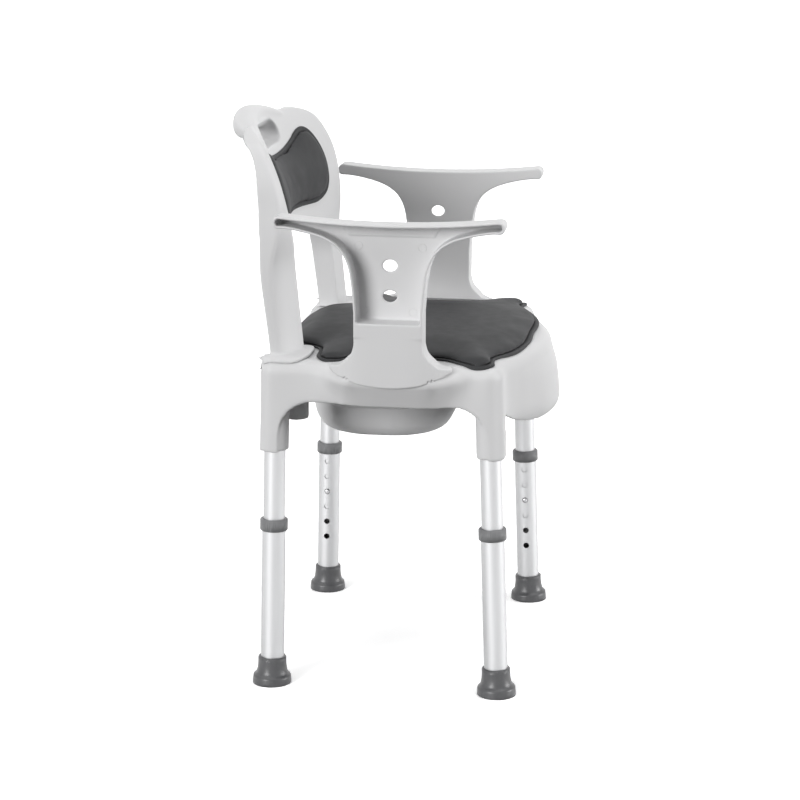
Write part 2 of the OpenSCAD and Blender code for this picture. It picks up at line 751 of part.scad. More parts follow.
function arm_foot_outline(w) = concat(
    [[arm_neck - w, ledge_z]],
    smooth_line([
        [arm_neck - w, seat_z + 34], [arm_neck + 4 - w, seat_z + 21],
        [arm_neck + 14 - w, seat_z + 10.5], [arm_foot - 16, seat_z + 4 - w / 2],
        [arm_foot - 3 - w, seat_z + 1.5]
    ], 3),
    [[arm_foot - w, seat_z - 1]],
    smooth_line([
        [arm_foot - w, seat_z - 5], [arm_foot * 0.8 - w, apron_z + 13.5],
        [arm_foot * 0.55, apron_z + 6], [arm_foot * 0.28, apron_z + 1.5], [0, apron_z]
    ], 3)
);

module arm_profile(points) {
    rotate([90, 0, 90]) linear_extrude(arm_w) polygon(concat(
        [for (p = points) [arm_mid_y + p[0], p[1]]],
        [for (i = [len(points) - 1 : -1 : 0]) [arm_mid_y - points[i][0], points[i][1]]]
    ));
}

// The armrest's foot seen from above: straight inside, curved like the seat outside
module arm_foot_plan(w) {
    outer = arm_w - w;
    translate([0, arm_mid_y, 0]) linear_extrude(1000) polygon(concat(
        [[w, -arm_foot], [w, arm_foot]],
        [for (k = [0 : 12])
            let (dy = arm_foot * (1 - k / 6))
            [outer - (outer - 14) * pow(abs(dy) / arm_foot, 5), dy]]
    ));
}

// An armrest on the left, drawn with its inner face at x = 0
module armrest_form() {
    cut_z = seat_z + pad_gap;
    difference() {
        union() {
            arm_profile(concat(arm_half_outline(0), [[arm_neck, ledge_z - 20]]));
            intersection() {
                arm_profile(arm_foot_outline(0));
                arm_foot_plan(0);
            }
        }
        // Recess above the ledge, open outwards
        translate([arm_wall, 0, 0])
            arm_profile(concat(arm_half_outline(arm_wall), [[arm_neck - arm_wall, ledge_z]]));
        // Hollow behind the apron, open at the bottom
        intersection() {
            translate([0, 0, -2 * arm_wall]) arm_profile([
                [arm_neck - arm_wall, ledge_z + arm_wall], [arm_neck - arm_wall, seat_z + 34],
                [arm_neck + 12 - arm_wall, seat_z + 12], [arm_foot - 12, seat_z + 4],
                [arm_foot - 12, 400]
            ]);
            translate([0, 0, 0]) arm_foot_plan(arm_wall);
        }
        for (k = [0, 1]) translate([-5, arm_mid_y + 2, arm_hole_z + k * arm_hole_pitch])
            rotate([0, 90, 0]) cylinder(d = arm_hole_d, h = 20, $fn = 48);
    }
}

module armrest(side) {
    color(plastic) over_origin() {
        difference() {
            mirror([side == LEFT ? 0 : 1, 0, 0]) translate([arm_in_x, 0, 0]) armrest_form();
            seat_form(pad_gap, 430);
        }
        for (dy = [-tenon_y, tenon_y])
            tenon_slot(side, dy, 0, tenon_z, ledge_z - 1);
    }
}

// Outline of the seat pad: front edge, front lobe, waist at the armrest, rear lobe
seat_pad_outline = smooth_loop(both_sides([
    [0, -189], [34, -184], [72, -174], [112, -160], [150, -149], [190, -146], [212, -140],
    [222, -124], [216, -104], [200, -90], [190, -72], [188, -40], [188, 0], [190, 36],
    [202, 56], [218, 68], [222, 84], [208, 98], [178, 102], [152, 106], [142, 126],
    [126, 146], [84, 162], [0, 167]
]), 2);

module seat_pad() {
    z = seat_z + pad_gap;
    loop = seat_pad_outline;
    heart = [for (p = loop) [p[0] * 0.45, p[1] * 0.45]];
    shoulder = inset_loop(loop, 11);
    color(pad_grey) over_origin() skin([
        at_height(inset_loop(loop, 2), z),
        at_height(loop, z + 1.2),
        at_height(inset_loop(loop, 0.6), z + pad_rim_t),
        at_height(inset_loop(loop, 3.6), z + pad_rim_t + 0.4),
        at_height(inset_loop(loop, 5), z + seat_pad_t * 0.42),
        at_height(inset_loop(loop, 7.4), z + seat_pad_t * 0.66),
        at_height(shoulder, z + seat_pad_t * 0.8),
        at_height(between(shoulder, heart, 0.2), z + seat_pad_t * 0.9),
        at_height(between(shoulder, heart, 0.5), z + seat_pad_t * 0.96),
        at_height(between(shoulder, heart, 1), z + seat_pad_t)
    ]);
}

// Outline of the back pad, as width and height on the backrest's face
back_pad_outline = smooth_loop(both_sides([
    [0, 654.5], [46, 653], [92, 650.5], [118, 650.5], [141, 656], [157, 665], [168, 680],
    [173, 698], [173, 715], [168, 732], [159, 747], [148, 757.5], [134, 762.5], [118, 761],
    [102, 756.5], [86, 750.5], [62, 744.5], [34, 740.5], [0, 739]
]), 2);

// A loop laid on the backrest's face, standing h in front of it
function on_back(p, h) = [for (q = p) [q[0], back_y(q[0], q[1]) - h, q[1]]];

module back_pad() {
    loop = back_pad_outline;
    heart = [for (p = loop) [p[0] * 0.45, 704 + (p[1] - 704) * 0.35]];
    core = [for (p = loop) [p[0] * 0.06, 704 + (p[1] - 704) * 0.06]];
    shoulder = inset_loop(loop, 10);
    color(pad_grey) over_origin() skin([
        on_back(core, pad_gap),
        on_back(heart, pad_gap),
        on_back(between(shoulder, heart, 0.4), pad_gap),
        on_back(inset_loop(loop, 2), pad_gap),
        on_back(loop, pad_gap + 1.2),
        on_back(inset_loop(loop, 0.6), pad_gap + pad_rim_t),
        on_back(inset_loop(loop, 3.4), pad_gap + pad_rim_t + 0.4),
        on_back(inset_loop(loop, 4.6), back_pad_t * 0.5),
        on_back(inset_loop(loop, 6.6), back_pad_t * 0.72),
        on_back(shoulder, back_pad_t * 0.86),
        on_back(between(shoulder, heart, 0.4), back_pad_t * 0.95),
        on_back(heart, back_pad_t),
        on_back(core, back_pad_t)
    ]);
}

// A rounded rectangle as a loop
function round_box(half_x, half_y, r, mid_y) = [
    for (q = [[1, -1, 270], [1, 1, 0], [-1, 1, 90], [-1, -1, 180]], a = [0 : 18 : 90])
        [q[0] * (half_x - r) + r * cos(q[2] + a), mid_y + q[1] * (half_y - r) + r * sin(q[2] + a)]
];

function pan_ring(inset, z) = at_height(
    round_box(pan_half_w - inset, pan_half_l - inset, 64 - inset, pan_y), z);

module pan() {
    w = pan_wall;
    color(plastic) over_origin() difference() {
        union() {
            skin([
                pan_ring(34, pan_z), pan_ring(20, pan_z + 3.5), pan_ring(10, pan_z + 14),
                pan_ring(6, pan_step_z), pan_ring(1.5, pan_step_z + 2.5), pan_ring(0, rim_z)
            ]);
            translate([0, pan_y, rim_z]) linear_extrude(rim_t)
                polygon(round_box(pan_half_w + rim_w, pan_half_l + 4, 40, 0));
        }
        skin([
            pan_ring(34 + w, pan_z + w), pan_ring(20 + w, pan_z + 3.5 + w),
            pan_ring(10 + w, pan_z + 14 + w), pan_ring(6 + w, pan_step_z + w),
            pan_ring(1.5 + w, pan_step_z + 2.5 + w), pan_ring(w, rim_z), pan_ring(w, rim_z + 20)
        ]);
    }
}

// A rail under the seat: a lip under the pan's rim and a web up to the seat
module pan_rail(side) {
    rim_edge = pan_half_w + rim_w;
    lip_top = rim_z - slide_gap;
    web_x = rim_edge + slide_gap;
    front_y = pan_y - pan_half_l - 4 - slide_gap;
    rear_y = seat_rear(rim_z) - seat_edge_r - 2;
    color(collar_grey) over_origin() mirror([side == LEFT ? 0 : 1, 0, 0])
        difference() {
            translate([0, rear_y, 0]) rotate([90, 0, 0])
                linear_extrude(rear_y - front_y) polygon([
                    [pan_half_w + 2, lip_top - rail_t], [web_x + rail_t, lip_top - rail_t],
                    [web_x + rail_t, flange_z], [web_x + 14, flange_z],
                    [web_x + 14, seat_z - seat_wall - fit_gap],
                    [web_x, seat_z - seat_wall - fit_gap],
                    [web_x, lip_top], [pan_half_w + 2, lip_top]
                ]);
            rail_screw_holes();
        }
}

// The rails' screws stand at these places, front to rear
rail_screw_y = [-60, 100];
rail_screw_x = pan_half_w + rim_w + slide_gap + 9;
flange_z = seat_z - seat_wall - rail_t;

module rail_screw_holes() {
    for (side = [LEFT, RIGHT], y = rail_screw_y)
        translate([side * rail_screw_x, y, flange_z - 1])
            cylinder(d = screw_d + 2 * fit_gap, h = rail_t + 3.7, $fn = 24);
}

module rail_screws() {
    color(steel) over_origin() for (side = [LEFT, RIGHT], y = rail_screw_y)
        translate([side * rail_screw_x, y, 0]) rotate_extrude($fn = 32) polygon([
            [0, flange_z - 2.4], [3, flange_z - 2.4], [screw_d, flange_z - 1.4], [screw_d, flange_z],
            [screw_d / 2, flange_z], [screw_d / 2, flange_z + rail_t + 2.4],
            [0, flange_z + rail_t + 2.4]
        ]);
}

seat_shell();
upper_tube(LEFT, FRONT);  // upper_tube_fl
upper_tube(RIGHT, FRONT);  // upper_tube_fr
upper_tube(LEFT, REAR);  // upper_tube_rl
upper_tube(RIGHT, REAR);  // upper_tube_rr
lower_tube(LEFT, FRONT);  // lower_tube_fl
lower_tube(RIGHT, FRONT);  // lower_tube_fr
lower_tube(LEFT, REAR);  // lower_tube_rl
lower_tube(RIGHT, REAR);  // lower_tube_rr
tube_collar(LEFT, FRONT);  // tube_collar_fl
tube_collar(RIGHT, FRONT);  // tube_collar_fr
tube_collar(LEFT, REAR);  // tube_collar_rl
tube_collar(RIGHT, REAR);  // tube_collar_rr
foot(LEFT, FRONT);  // foot_fl
foot(RIGHT, FRONT);  // foot_fr
foot(LEFT, REAR);  // foot_rl
foot(RIGHT, REAR);  // foot_rr
snap_pin(LEFT, FRONT);  // snap_pin_fl
snap_pin(RIGHT, FRONT);  // snap_pin_fr
snap_pin(LEFT, REAR);  // snap_pin_rl
snap_pin(RIGHT, REAR);  // snap_pin_rr
pin_spring(LEFT, FRONT);  // pin_spring_fl
pin_spring(RIGHT, FRONT);  // pin_spring_fr
pin_spring(LEFT, REAR);  // pin_spring_rl
pin_spring(RIGHT, REAR);  // pin_spring_rr
leg_screws();
armrest(LEFT);  // armrest_left
armrest(RIGHT);  // armrest_right
backrest();
back_pad();
seat_pad();
pan();
pan_rail(LEFT);  // pan_rail_left
pan_rail(RIGHT);  // pan_rail_right
rail_screws();
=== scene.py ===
"""Shower commode chair: its looks, soft pads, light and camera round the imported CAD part.

Sizes are in millimetres, as in the part's source, and measured from the middle of the feet:
x to the sitter's left, y to the rear, z up from the floor. They become metres about the
chair's own middle only when a mesh is placed.
"""

from __future__ import annotations

import json
import logging
import math
from collections.abc import Callable, Sequence
from dataclasses import dataclass, field
from enum import Enum

import bpy
import numpy as np
from mathutils import Matrix, Vector

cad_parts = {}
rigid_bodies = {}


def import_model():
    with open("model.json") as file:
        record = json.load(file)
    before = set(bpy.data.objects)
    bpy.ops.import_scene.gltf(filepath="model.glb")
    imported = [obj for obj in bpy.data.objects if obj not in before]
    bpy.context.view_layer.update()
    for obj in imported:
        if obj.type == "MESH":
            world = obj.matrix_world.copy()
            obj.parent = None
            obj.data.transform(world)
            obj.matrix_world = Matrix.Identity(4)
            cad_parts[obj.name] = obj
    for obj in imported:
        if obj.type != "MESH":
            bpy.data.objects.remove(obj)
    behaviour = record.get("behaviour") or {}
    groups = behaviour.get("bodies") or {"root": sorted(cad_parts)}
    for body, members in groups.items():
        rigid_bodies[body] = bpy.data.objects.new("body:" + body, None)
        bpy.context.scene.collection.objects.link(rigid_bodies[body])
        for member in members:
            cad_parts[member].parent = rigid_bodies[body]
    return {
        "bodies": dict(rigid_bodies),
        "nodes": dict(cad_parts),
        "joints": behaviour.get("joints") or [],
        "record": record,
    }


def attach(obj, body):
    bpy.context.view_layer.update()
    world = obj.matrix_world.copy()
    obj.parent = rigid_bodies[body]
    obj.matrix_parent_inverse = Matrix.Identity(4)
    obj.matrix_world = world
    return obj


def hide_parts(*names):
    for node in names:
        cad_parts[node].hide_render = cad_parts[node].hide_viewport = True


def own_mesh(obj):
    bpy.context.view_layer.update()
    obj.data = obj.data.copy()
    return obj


LOG = logging.getLogger("commode_chair")
MM = 0.001
# The chair's own middle, measured from the middle of the feet.
CHAIR_MIDDLE = (0.0, 14.236161859621504, 0.0)

Loop = np.ndarray
Piece = bpy.types.Object
Socket = bpy.types.NodeSocket
Colour = tuple[float, float, float]
Table = Sequence[tuple[float, float]]


class Side(Enum):
    """The sitter's left or right."""

    LEFT = 1
    RIGHT = -1


class End(Enum):
    """The rear or the front of the chair."""

    REAR = 1
    FRONT = -1


class Cut(Enum):
    """How one solid works on another."""

    TAKE = "DIFFERENCE"
    ADD = "UNION"
    KEEP = "INTERSECT"


def lookup(value: float, table: Table) -> float:
    """Reads a table of rising keys, straight between its rows and level beyond its ends."""
    return float(np.interp(value, [row[0] for row in table], [row[1] for row in table]))


def curve_through(a: Loop, b: Loop, c: Loop, d: Loop, t: float) -> Loop:
    """A point of a smooth curve through four points.

    Args:
        a: The point before the stretch.
        b: Where the stretch starts.
        c: Where it ends.
        d: The point after it.
        t: The share of the way from b to c.

    Returns:
        The point.
    """
    return 0.5 * (
        2 * b + (c - a) * t + (2 * a - 5 * b + 4 * c - d) * t * t + (3 * b - a - 3 * c + d) * t**3
    )


def smooth_loop(points: Sequence, steps: int) -> Loop:
    """A smooth closed curve through a loop of points.

    Args:
        points: The loop's points.
        steps: Points made for each given one.

    Returns:
        The finer loop.
    """
    p = np.asarray(points, float)
    before, after, beyond = np.roll(p, 1, 0), np.roll(p, -1, 0), np.roll(p, -2, 0)
    parts = [curve_through(before, p, after, beyond, k / steps) for k in range(steps)]
    return np.stack(parts, axis=1).reshape(-1, p.shape[1])


def smooth_line(points: Sequence, steps: int) -> Loop:
    """A smooth open curve through points, with its two ends kept.

    Args:
        points: The line's points.
        steps: Points made for each stretch.

    Returns:
        The finer line.
    """
    p = np.asarray(points, float)
    padded = np.vstack([p[:1], p, p[-1:]])
    line = []
    for i in range(len(p) - 1):
        line += [curve_through(*padded[i : i + 4], k / steps) for k in range(steps)]
    return np.array(line + [p[-1]])


def both_sides(half: Sequence) -> Loop:
    """A half outline, from front to rear, mirrored into a whole loop."""
    half = np.asarray(half, float)
    return np.vstack([half, half[-2:0:-1] * [-1, 1]])


def inset_loop(loop: Loop, distance: float) -> Loop:
    """A loop moved inwards, square to itself.

    Args:
        loop: Points that run anticlockwise.
        distance: How far they move inwards.

    Returns:
        The moved loop.
    """
    along = np.roll(loop, -1, 0) - np.roll(loop, 1, 0)
    inwards = np.stack([-along[:, 1], along[:, 0]], axis=1)
    return loop + distance * inwards / np.linalg.norm(inwards, axis=1, keepdims=True)


def at_height(loop: Loop, z: float | Loop) -> Loop:
    """A flat loop as points at one height, or at a height each."""
    return np.column_stack([loop[:, 0], loop[:, 1], np.broadcast_to(z, len(loop))])


def slope(lean: float) -> float:
    """How far a line that leans by so many degrees goes sideways for its height."""
    return math.tan(math.radians(lean))


def full_turn(count: int) -> Loop:
    """Angles evenly spread all round a circle."""
    return np.linspace(0, 2 * math.pi, count, endpoint=False)


def squared(wave: Loop, power: float) -> Loop:
    """A sine or cosine pushed out, which turns a circle towards a square."""
    return np.sign(wave) * np.abs(wave) ** power


def arch_outline(half_w: float, low: float, top: float, shoulder: float) -> Loop:
    """An arch with round shoulders, as a closed outline from its foot at the left.

    Args:
        half_w: Half its width.
        low: Height of its foot.
        top: Height of its crown.
        shoulder: Radius of its shoulders.

    Returns:
        The outline, as distance and height.
    """
    turn = np.radians(np.arange(0, 91, 6))
    left = np.column_stack(
        [-half_w + shoulder * (1 - np.cos(turn)), top - shoulder * (1 - np.sin(turn))]
    )
    right = left[::-1] * [-1, 1]
    return np.vstack([[[-half_w, low]], left, right, [[half_w, low]]])


class Bench:
    """Operator work on one piece at a time, with everything else left unselected."""

    same_place: float = 2e-6

    @staticmethod
    def clear() -> None:
        """Leaves edit mode and deselects everything."""
        if bpy.context.mode != "OBJECT":
            bpy.ops.object.mode_set(mode="OBJECT")
        bpy.ops.object.select_all(action="DESELECT")

    @classmethod
    def only(cls, piece: Piece) -> None:
        """Selects one piece and makes it the active one.

        Args:
            piece: The piece.
        """
        cls.clear()
        piece.select_set(True)
        bpy.context.view_layer.objects.active = piece

    @classmethod
    def shade_smooth(cls, piece: Piece) -> None:
        """Shades a piece smooth all over."""
        cls.only(piece)
        bpy.ops.object.shade_smooth()

    @classmethod
    def edit(cls, piece: Piece, *steps: Callable[[], object]) -> None:
        """Runs operators in edit mode with all of the piece selected.

        Args:
            piece: The piece to work on.
            steps: What to run, in order.
        """
        cls.only(piece)
        bpy.ops.object.mode_set(mode="EDIT")
        bpy.ops.mesh.select_all(action="SELECT")
        for step in steps:
            step()
        bpy.ops.object.mode_set(mode="OBJECT")

    @classmethod
    def modify(cls, piece: Piece, kind: str, **settings: object) -> None:
        """Adds one modifier to a piece and applies it.

        Args:
            piece: The piece to work on.
            kind: The modifier's type.
            settings: Its settings.
        """
        cls.only(piece)
        step = piece.modifiers.new(kind.lower(), kind)
        for key, value in settings.items():
            setattr(step, key, value)
        bpy.ops.object.modifier_apply(modifier=step.name)

    @classmethod
    def cut(cls, piece: Piece, tool: Piece, how: Cut = Cut.TAKE) -> None:
        """Works a closed solid on another as how says, and throws the tool away."""
        cls.modify(piece, "BOOLEAN", object=tool, operation=how.value, solver="MANIFOLD")
        bpy.data.objects.remove(tool)

    @classmethod
    def skin(cls, name: str, rings: Sequence[Loop], capped: bool = True) -> Piece:
        """A grid wrapped round through rings of equal length and closed at both ends.

        Args:
            name: The piece's name.
            rings: Closed rings of points in millimetres, in order.
            capped: Whether both ends get a face; otherwise the last ring meets the first.

        Returns:
            The new piece.
        """
        rows = list(rings) if capped else list(rings) + [rings[0]]
        points = np.stack([np.vstack([row, row[:1]]) for row in rows])
        points = (points - CHAIR_MIDDLE) * MM
        cls.clear()
        bpy.ops.mesh.primitive_grid_add(
            x_subdivisions=points.shape[1] - 1, y_subdivisions=points.shape[0] - 1
        )
        piece = bpy.context.object
        piece.name = name
        piece.location = (0, 0, 0)
        piece.data.vertices.foreach_set("co", points.astype(np.float32).ravel())
        steps = [lambda: bpy.ops.mesh.remove_doubles(threshold=cls.same_place)]
        if capped:
            steps += [
                lambda: bpy.ops.mesh.select_all(action="DESELECT"),
                lambda: bpy.ops.mesh.select_non_manifold(extend=False),
                lambda: bpy.ops.mesh.edge_face_add(),
                lambda: bpy.ops.mesh.select_all(action="SELECT"),
            ]
        steps.append(lambda: bpy.ops.mesh.normals_make_consistent(inside=False))
        cls.edit(piece, *steps)
        if cls.volume(piece) < 0:
            cls.edit(piece, lambda: bpy.ops.mesh.flip_normals())
        return piece

    @staticmethod
    def volume(piece: Piece) -> float:
        """The volume of a closed piece.

        Args:
            piece: The piece.

        Returns:
            Its cubic metres, below zero where it is inside out.
        """
        mesh = piece.data
        mesh.calc_loop_triangles()
        corners = np.empty(len(mesh.loop_triangles) * 3, np.int32)
        mesh.loop_triangles.foreach_get("vertices", corners)
        flat = np.empty(len(mesh.vertices) * 3, np.float32)
        mesh.vertices.foreach_get("co", flat)
        a, b, c = flat.reshape(-1, 3).astype(float)[corners].reshape(-1, 3, 3).transpose(1, 0, 2)
        return float(np.einsum("ij,ij->i", a, np.cross(b, c)).sum() / 6)

    @classmethod
    def prism(cls, name: str, outline: Loop, axis: str, low: float, high: float) -> Piece:
        """A flat outline drawn out along an axis.

        Args:
            name: The piece's name.
            outline: Its outline, in the two other directions in the order x, y, z.
            axis: The direction that it is drawn out in: x, y or z.
            low: Where it starts.
            high: Where it ends.

        Returns:
            The new piece.
        """
        place = "xyz".index(axis)
        rings = [np.insert(outline, place, level, axis=1) for level in (low, high)]
        return cls.skin(name, rings)

    @classmethod
    def rod(cls, name: str, start: Loop, end: Loop, diameter: float) -> Piece:
        """A round bar between two points.

        Args:
            name: The piece's name.
            start: The middle of one end.
            end: The middle of the other.
            diameter: Its diameter.

        Returns:
            The new piece.
        """
        start, end = np.asarray(start, float), np.asarray(end, float)
        turn = Vector(end - start).to_track_quat("Z", "Y").to_matrix()
        ring = [
            turn @ Vector((diameter / 2 * math.cos(a), diameter / 2 * math.sin(a), 0))
            for a in full_turn(48)
        ]
        return cls.skin(name, [np.array(ring) + start, np.array(ring) + end])

    @classmethod
    def mould(cls, piece: Piece, voxel: float, passes: int) -> None:
        """Turns a solid into one even skin with the soft edges of a moulded part.

        Args:
            piece: The solid.
            voxel: The size of the new faces, in millimetres.
            passes: How many times the skin is smoothed.
        """
        cls.modify(piece, "REMESH", mode="VOXEL", voxel_size=voxel * MM, use_smooth_shade=True)
        if passes:
            cls.modify(piece, "SMOOTH", factor=0.5, iterations=passes)
        cls.shade_smooth(piece)

    @classmethod
    def join(cls, pieces: Sequence[Piece]) -> Piece:
        """Makes several meshes one piece.

        Args:
            pieces: The meshes.

        Returns:
            The first of them, which holds them all.
        """
        cls.only(pieces[0])
        for other in pieces[1:]:
            other.select_set(True)
        bpy.ops.object.join()
        return pieces[0]

    @classmethod
    def soften_near(cls, piece: Piece, share: Callable[[Loop], Loop], passes: int) -> None:
        """Smooths a piece more in some places than in others.

        Args:
            piece: The piece.
            share: Gives each point, in millimetres, its share of the smoothing.
            passes: How many times it is smoothed.
        """
        tenths = np.round(share(cls.points(piece)) * 10).astype(int)
        group = piece.vertex_groups.new(name="soft")
        for tenth in range(1, 11):
            group.add(np.flatnonzero(tenths == tenth).tolist(), tenth / 10, "REPLACE")
        cls.modify(piece, "SMOOTH", factor=0.5, iterations=passes, vertex_group="soft")
        piece.vertex_groups.remove(piece.vertex_groups["soft"])

    @staticmethod
    def points(piece: Piece) -> Loop:
        """Reads where a piece's points are.

        Args:
            piece: The piece.

        Returns:
            The points, in millimetres from the middle of the feet.
        """
        flat = np.empty(len(piece.data.vertices) * 3, np.float32)
        piece.data.vertices.foreach_get("co", flat)
        return flat.reshape(-1, 3).astype(float) / MM + CHAIR_MIDDLE

    @staticmethod
    def set_points(piece: Piece, points: Loop) -> None:
        """Places a piece's points.

        Args:
            piece: The piece.
            points: The points, in millimetres from the middle of the feet.
        """
        flat = ((points - CHAIR_MIDDLE) * MM).astype(np.float32).ravel()
        piece.data.vertices.foreach_set("co", flat)
        piece.data.update()


class Recipe:
    """A material's node tree, built node by node."""

    def __init__(self, name: str) -> None:
        """Starts a material with one Principled shader.

        Args:
            name: The material's name.
        """
        self.material = bpy.data.materials.new(name)
        self.material.use_nodes = True
        self.tree = self.material.node_tree
        self.shader = self.tree.nodes["Principled BSDF"]
        self.place = self.add("ShaderNodeTexCoord").outputs["Object"]

    def add(self, kind: str, **settings: object) -> bpy.types.Node:
        """Adds a node and gives it its settings.

        Args:
            kind: The node's type.
            settings: Its settings.

        Returns:
            The node.
        """
        node = self.tree.nodes.new(kind)
        for key, value in settings.items():
            setattr(node, key, value)
        return node

    def link(self, source: Socket, target: Socket) -> None:
        """Joins two sockets."""
        self.tree.links.new(source, target)

    def noise(
        self, scale: float, detail: float = 3.0, stretch: tuple[float, float, float] = (1, 1, 1)
    ) -> Socket:
        """Noise over the piece.

        Args:
            scale: How fine it is, in waves to the metre.
            detail: How many finer layers it has.
            stretch: Its fineness along x, y and z.

        Returns:
            The socket of its value.
        """
        mapping = self.add("ShaderNodeMapping")
        mapping.inputs["Scale"].default_value = stretch
        node = self.add("ShaderNodeTexNoise")
        node.inputs["Scale"].default_value = scale
        node.inputs["Detail"].default_value = detail
        self.link(self.place, mapping.inputs["Vector"])
        self.link(mapping.outputs["Vector"], node.inputs["Vector"])
        return node.outputs["Fac"]

    def tint(self, source: Socket, colour: Colour, spread: float) -> None:
        """Varies the base colour a little either way.

        Args:
            source: What it varies with.
            colour: The colour in the middle.
            spread: How far it goes either way, as a share.
        """
        ramp = self.add("ShaderNodeValToRGB")
        ramp.color_ramp.elements[0].position = 0.3
        ramp.color_ramp.elements[1].position = 0.7
        ramp.color_ramp.elements[0].color = (*[c * (1 - spread) for c in colour], 1)
        ramp.color_ramp.elements[1].color = (*[c * (1 + spread) for c in colour], 1)
        self.link(source, ramp.inputs["Fac"])
        self.link(ramp.outputs["Color"], self.shader.inputs["Base Color"])

    def roughness(self, source: Socket, low: float, high: float) -> None:
        """Varies the roughness.

        Args:
            source: What it varies with.
            low: Its lowest value.
            high: Its highest value.
        """
        scale = self.add("ShaderNodeMapRange")
        scale.inputs["To Min"].default_value = low
        scale.inputs["To Max"].default_value = high
        self.link(source, scale.inputs["Value"])
        self.link(scale.outputs["Result"], self.shader.inputs["Roughness"])

    def bumps(self, *layers: tuple[Socket, float, float]) -> None:
        """Raises the surface by one or more layers.

        Args:
            layers: Each one's height socket, strength and depth in millimetres.
        """
        below = None
        for height, strength, depth in layers:
            node = self.add("ShaderNodeBump")
            node.inputs["Strength"].default_value = strength
            node.inputs["Distance"].default_value = depth * MM
            self.link(height, node.inputs["Height"])
            if below:
                self.link(below, node.inputs["Normal"])
            below = node.outputs["Normal"]
        self.link(below, self.shader.inputs["Normal"])


@dataclass(frozen=True)
class Finish:
    """A finish: the name of its material slot and its colour."""

    name: str
    colour: Colour


@dataclass(frozen=True)
class MouldedPlastic(Finish):
    """A moulded plastic with a fine spark-eroded grain."""

    rough: float = 0.5
    grain: float = 0.1

    def make(self) -> bpy.types.Material:
        """Builds the material.

        Returns:
            The material.
        """
        recipe = Recipe(self.name)
        recipe.tint(recipe.noise(9, 4), self.colour, 0.012)
        recipe.roughness(recipe.noise(24, 3), self.rough - 0.05, self.rough + 0.06)
        recipe.bumps((recipe.noise(45, 2), 0.05, 0.5), (recipe.noise(1100, 2), self.grain, 0.06))
        recipe.shader.inputs["Specular IOR Level"].default_value = 0.28
        return recipe.material


@dataclass(frozen=True)
class PadSkin(Finish):
    """The integral skin of a foamed pad: a fine leather-like grain."""

    def make(self) -> bpy.types.Material:
        """Builds the material.

        Returns:
            The material.
        """
        recipe = Recipe(self.name)
        cells = recipe.add("ShaderNodeTexVoronoi", feature="DISTANCE_TO_EDGE")
        cells.inputs["Scale"].default_value = 620
        cells.inputs["Randomness"].default_value = 0.95
        recipe.link(recipe.place, cells.inputs["Vector"])
        recipe.tint(recipe.noise(16, 5), self.colour, 0.1)
        recipe.roughness(recipe.noise(60, 4), 0.58, 0.72)
        recipe.bumps(
            (recipe.noise(38, 3), 0.16, 1.2),
            (cells.outputs["Distance"], 0.3, 0.25),
            (recipe.noise(1500, 2), 0.12, 0.08),
        )
        recipe.shader.inputs["Specular IOR Level"].default_value = 0.22
        return recipe.material


@dataclass(frozen=True)
class DrawnMetal(Finish):
    """A metal drawn or turned along the legs, with fine lines up and down."""

    rough: float
    lines: float = 0.12

    def make(self) -> bpy.types.Material:
        """Builds the material.

        Returns:
            The material.
        """
        recipe = Recipe(self.name)
        drawn = recipe.noise(1.0, 4, (1400, 1400, 14))
        recipe.tint(recipe.noise(1.0, 3, (120, 120, 6)), self.colour, 0.03)
        recipe.roughness(drawn, self.rough - 0.05, self.rough + 0.08)
        recipe.bumps((drawn, self.lines, 0.01))
        recipe.shader.inputs["Metallic"].default_value = 1.0
        return recipe.material


@dataclass(frozen=True)
class FootRubber(Finish):
    """Grey rubber with a soft gloss and fine grain."""

    def make(self) -> bpy.types.Material:
        """Builds the material.

        Returns:
            The material.
        """
        recipe = Recipe(self.name)
        recipe.tint(recipe.noise(70, 6), self.colour, 0.08)
        recipe.roughness(recipe.noise(140, 4), 0.28, 0.42)
        recipe.bumps((recipe.noise(900, 3), 0.16, 0.08))
        return recipe.material


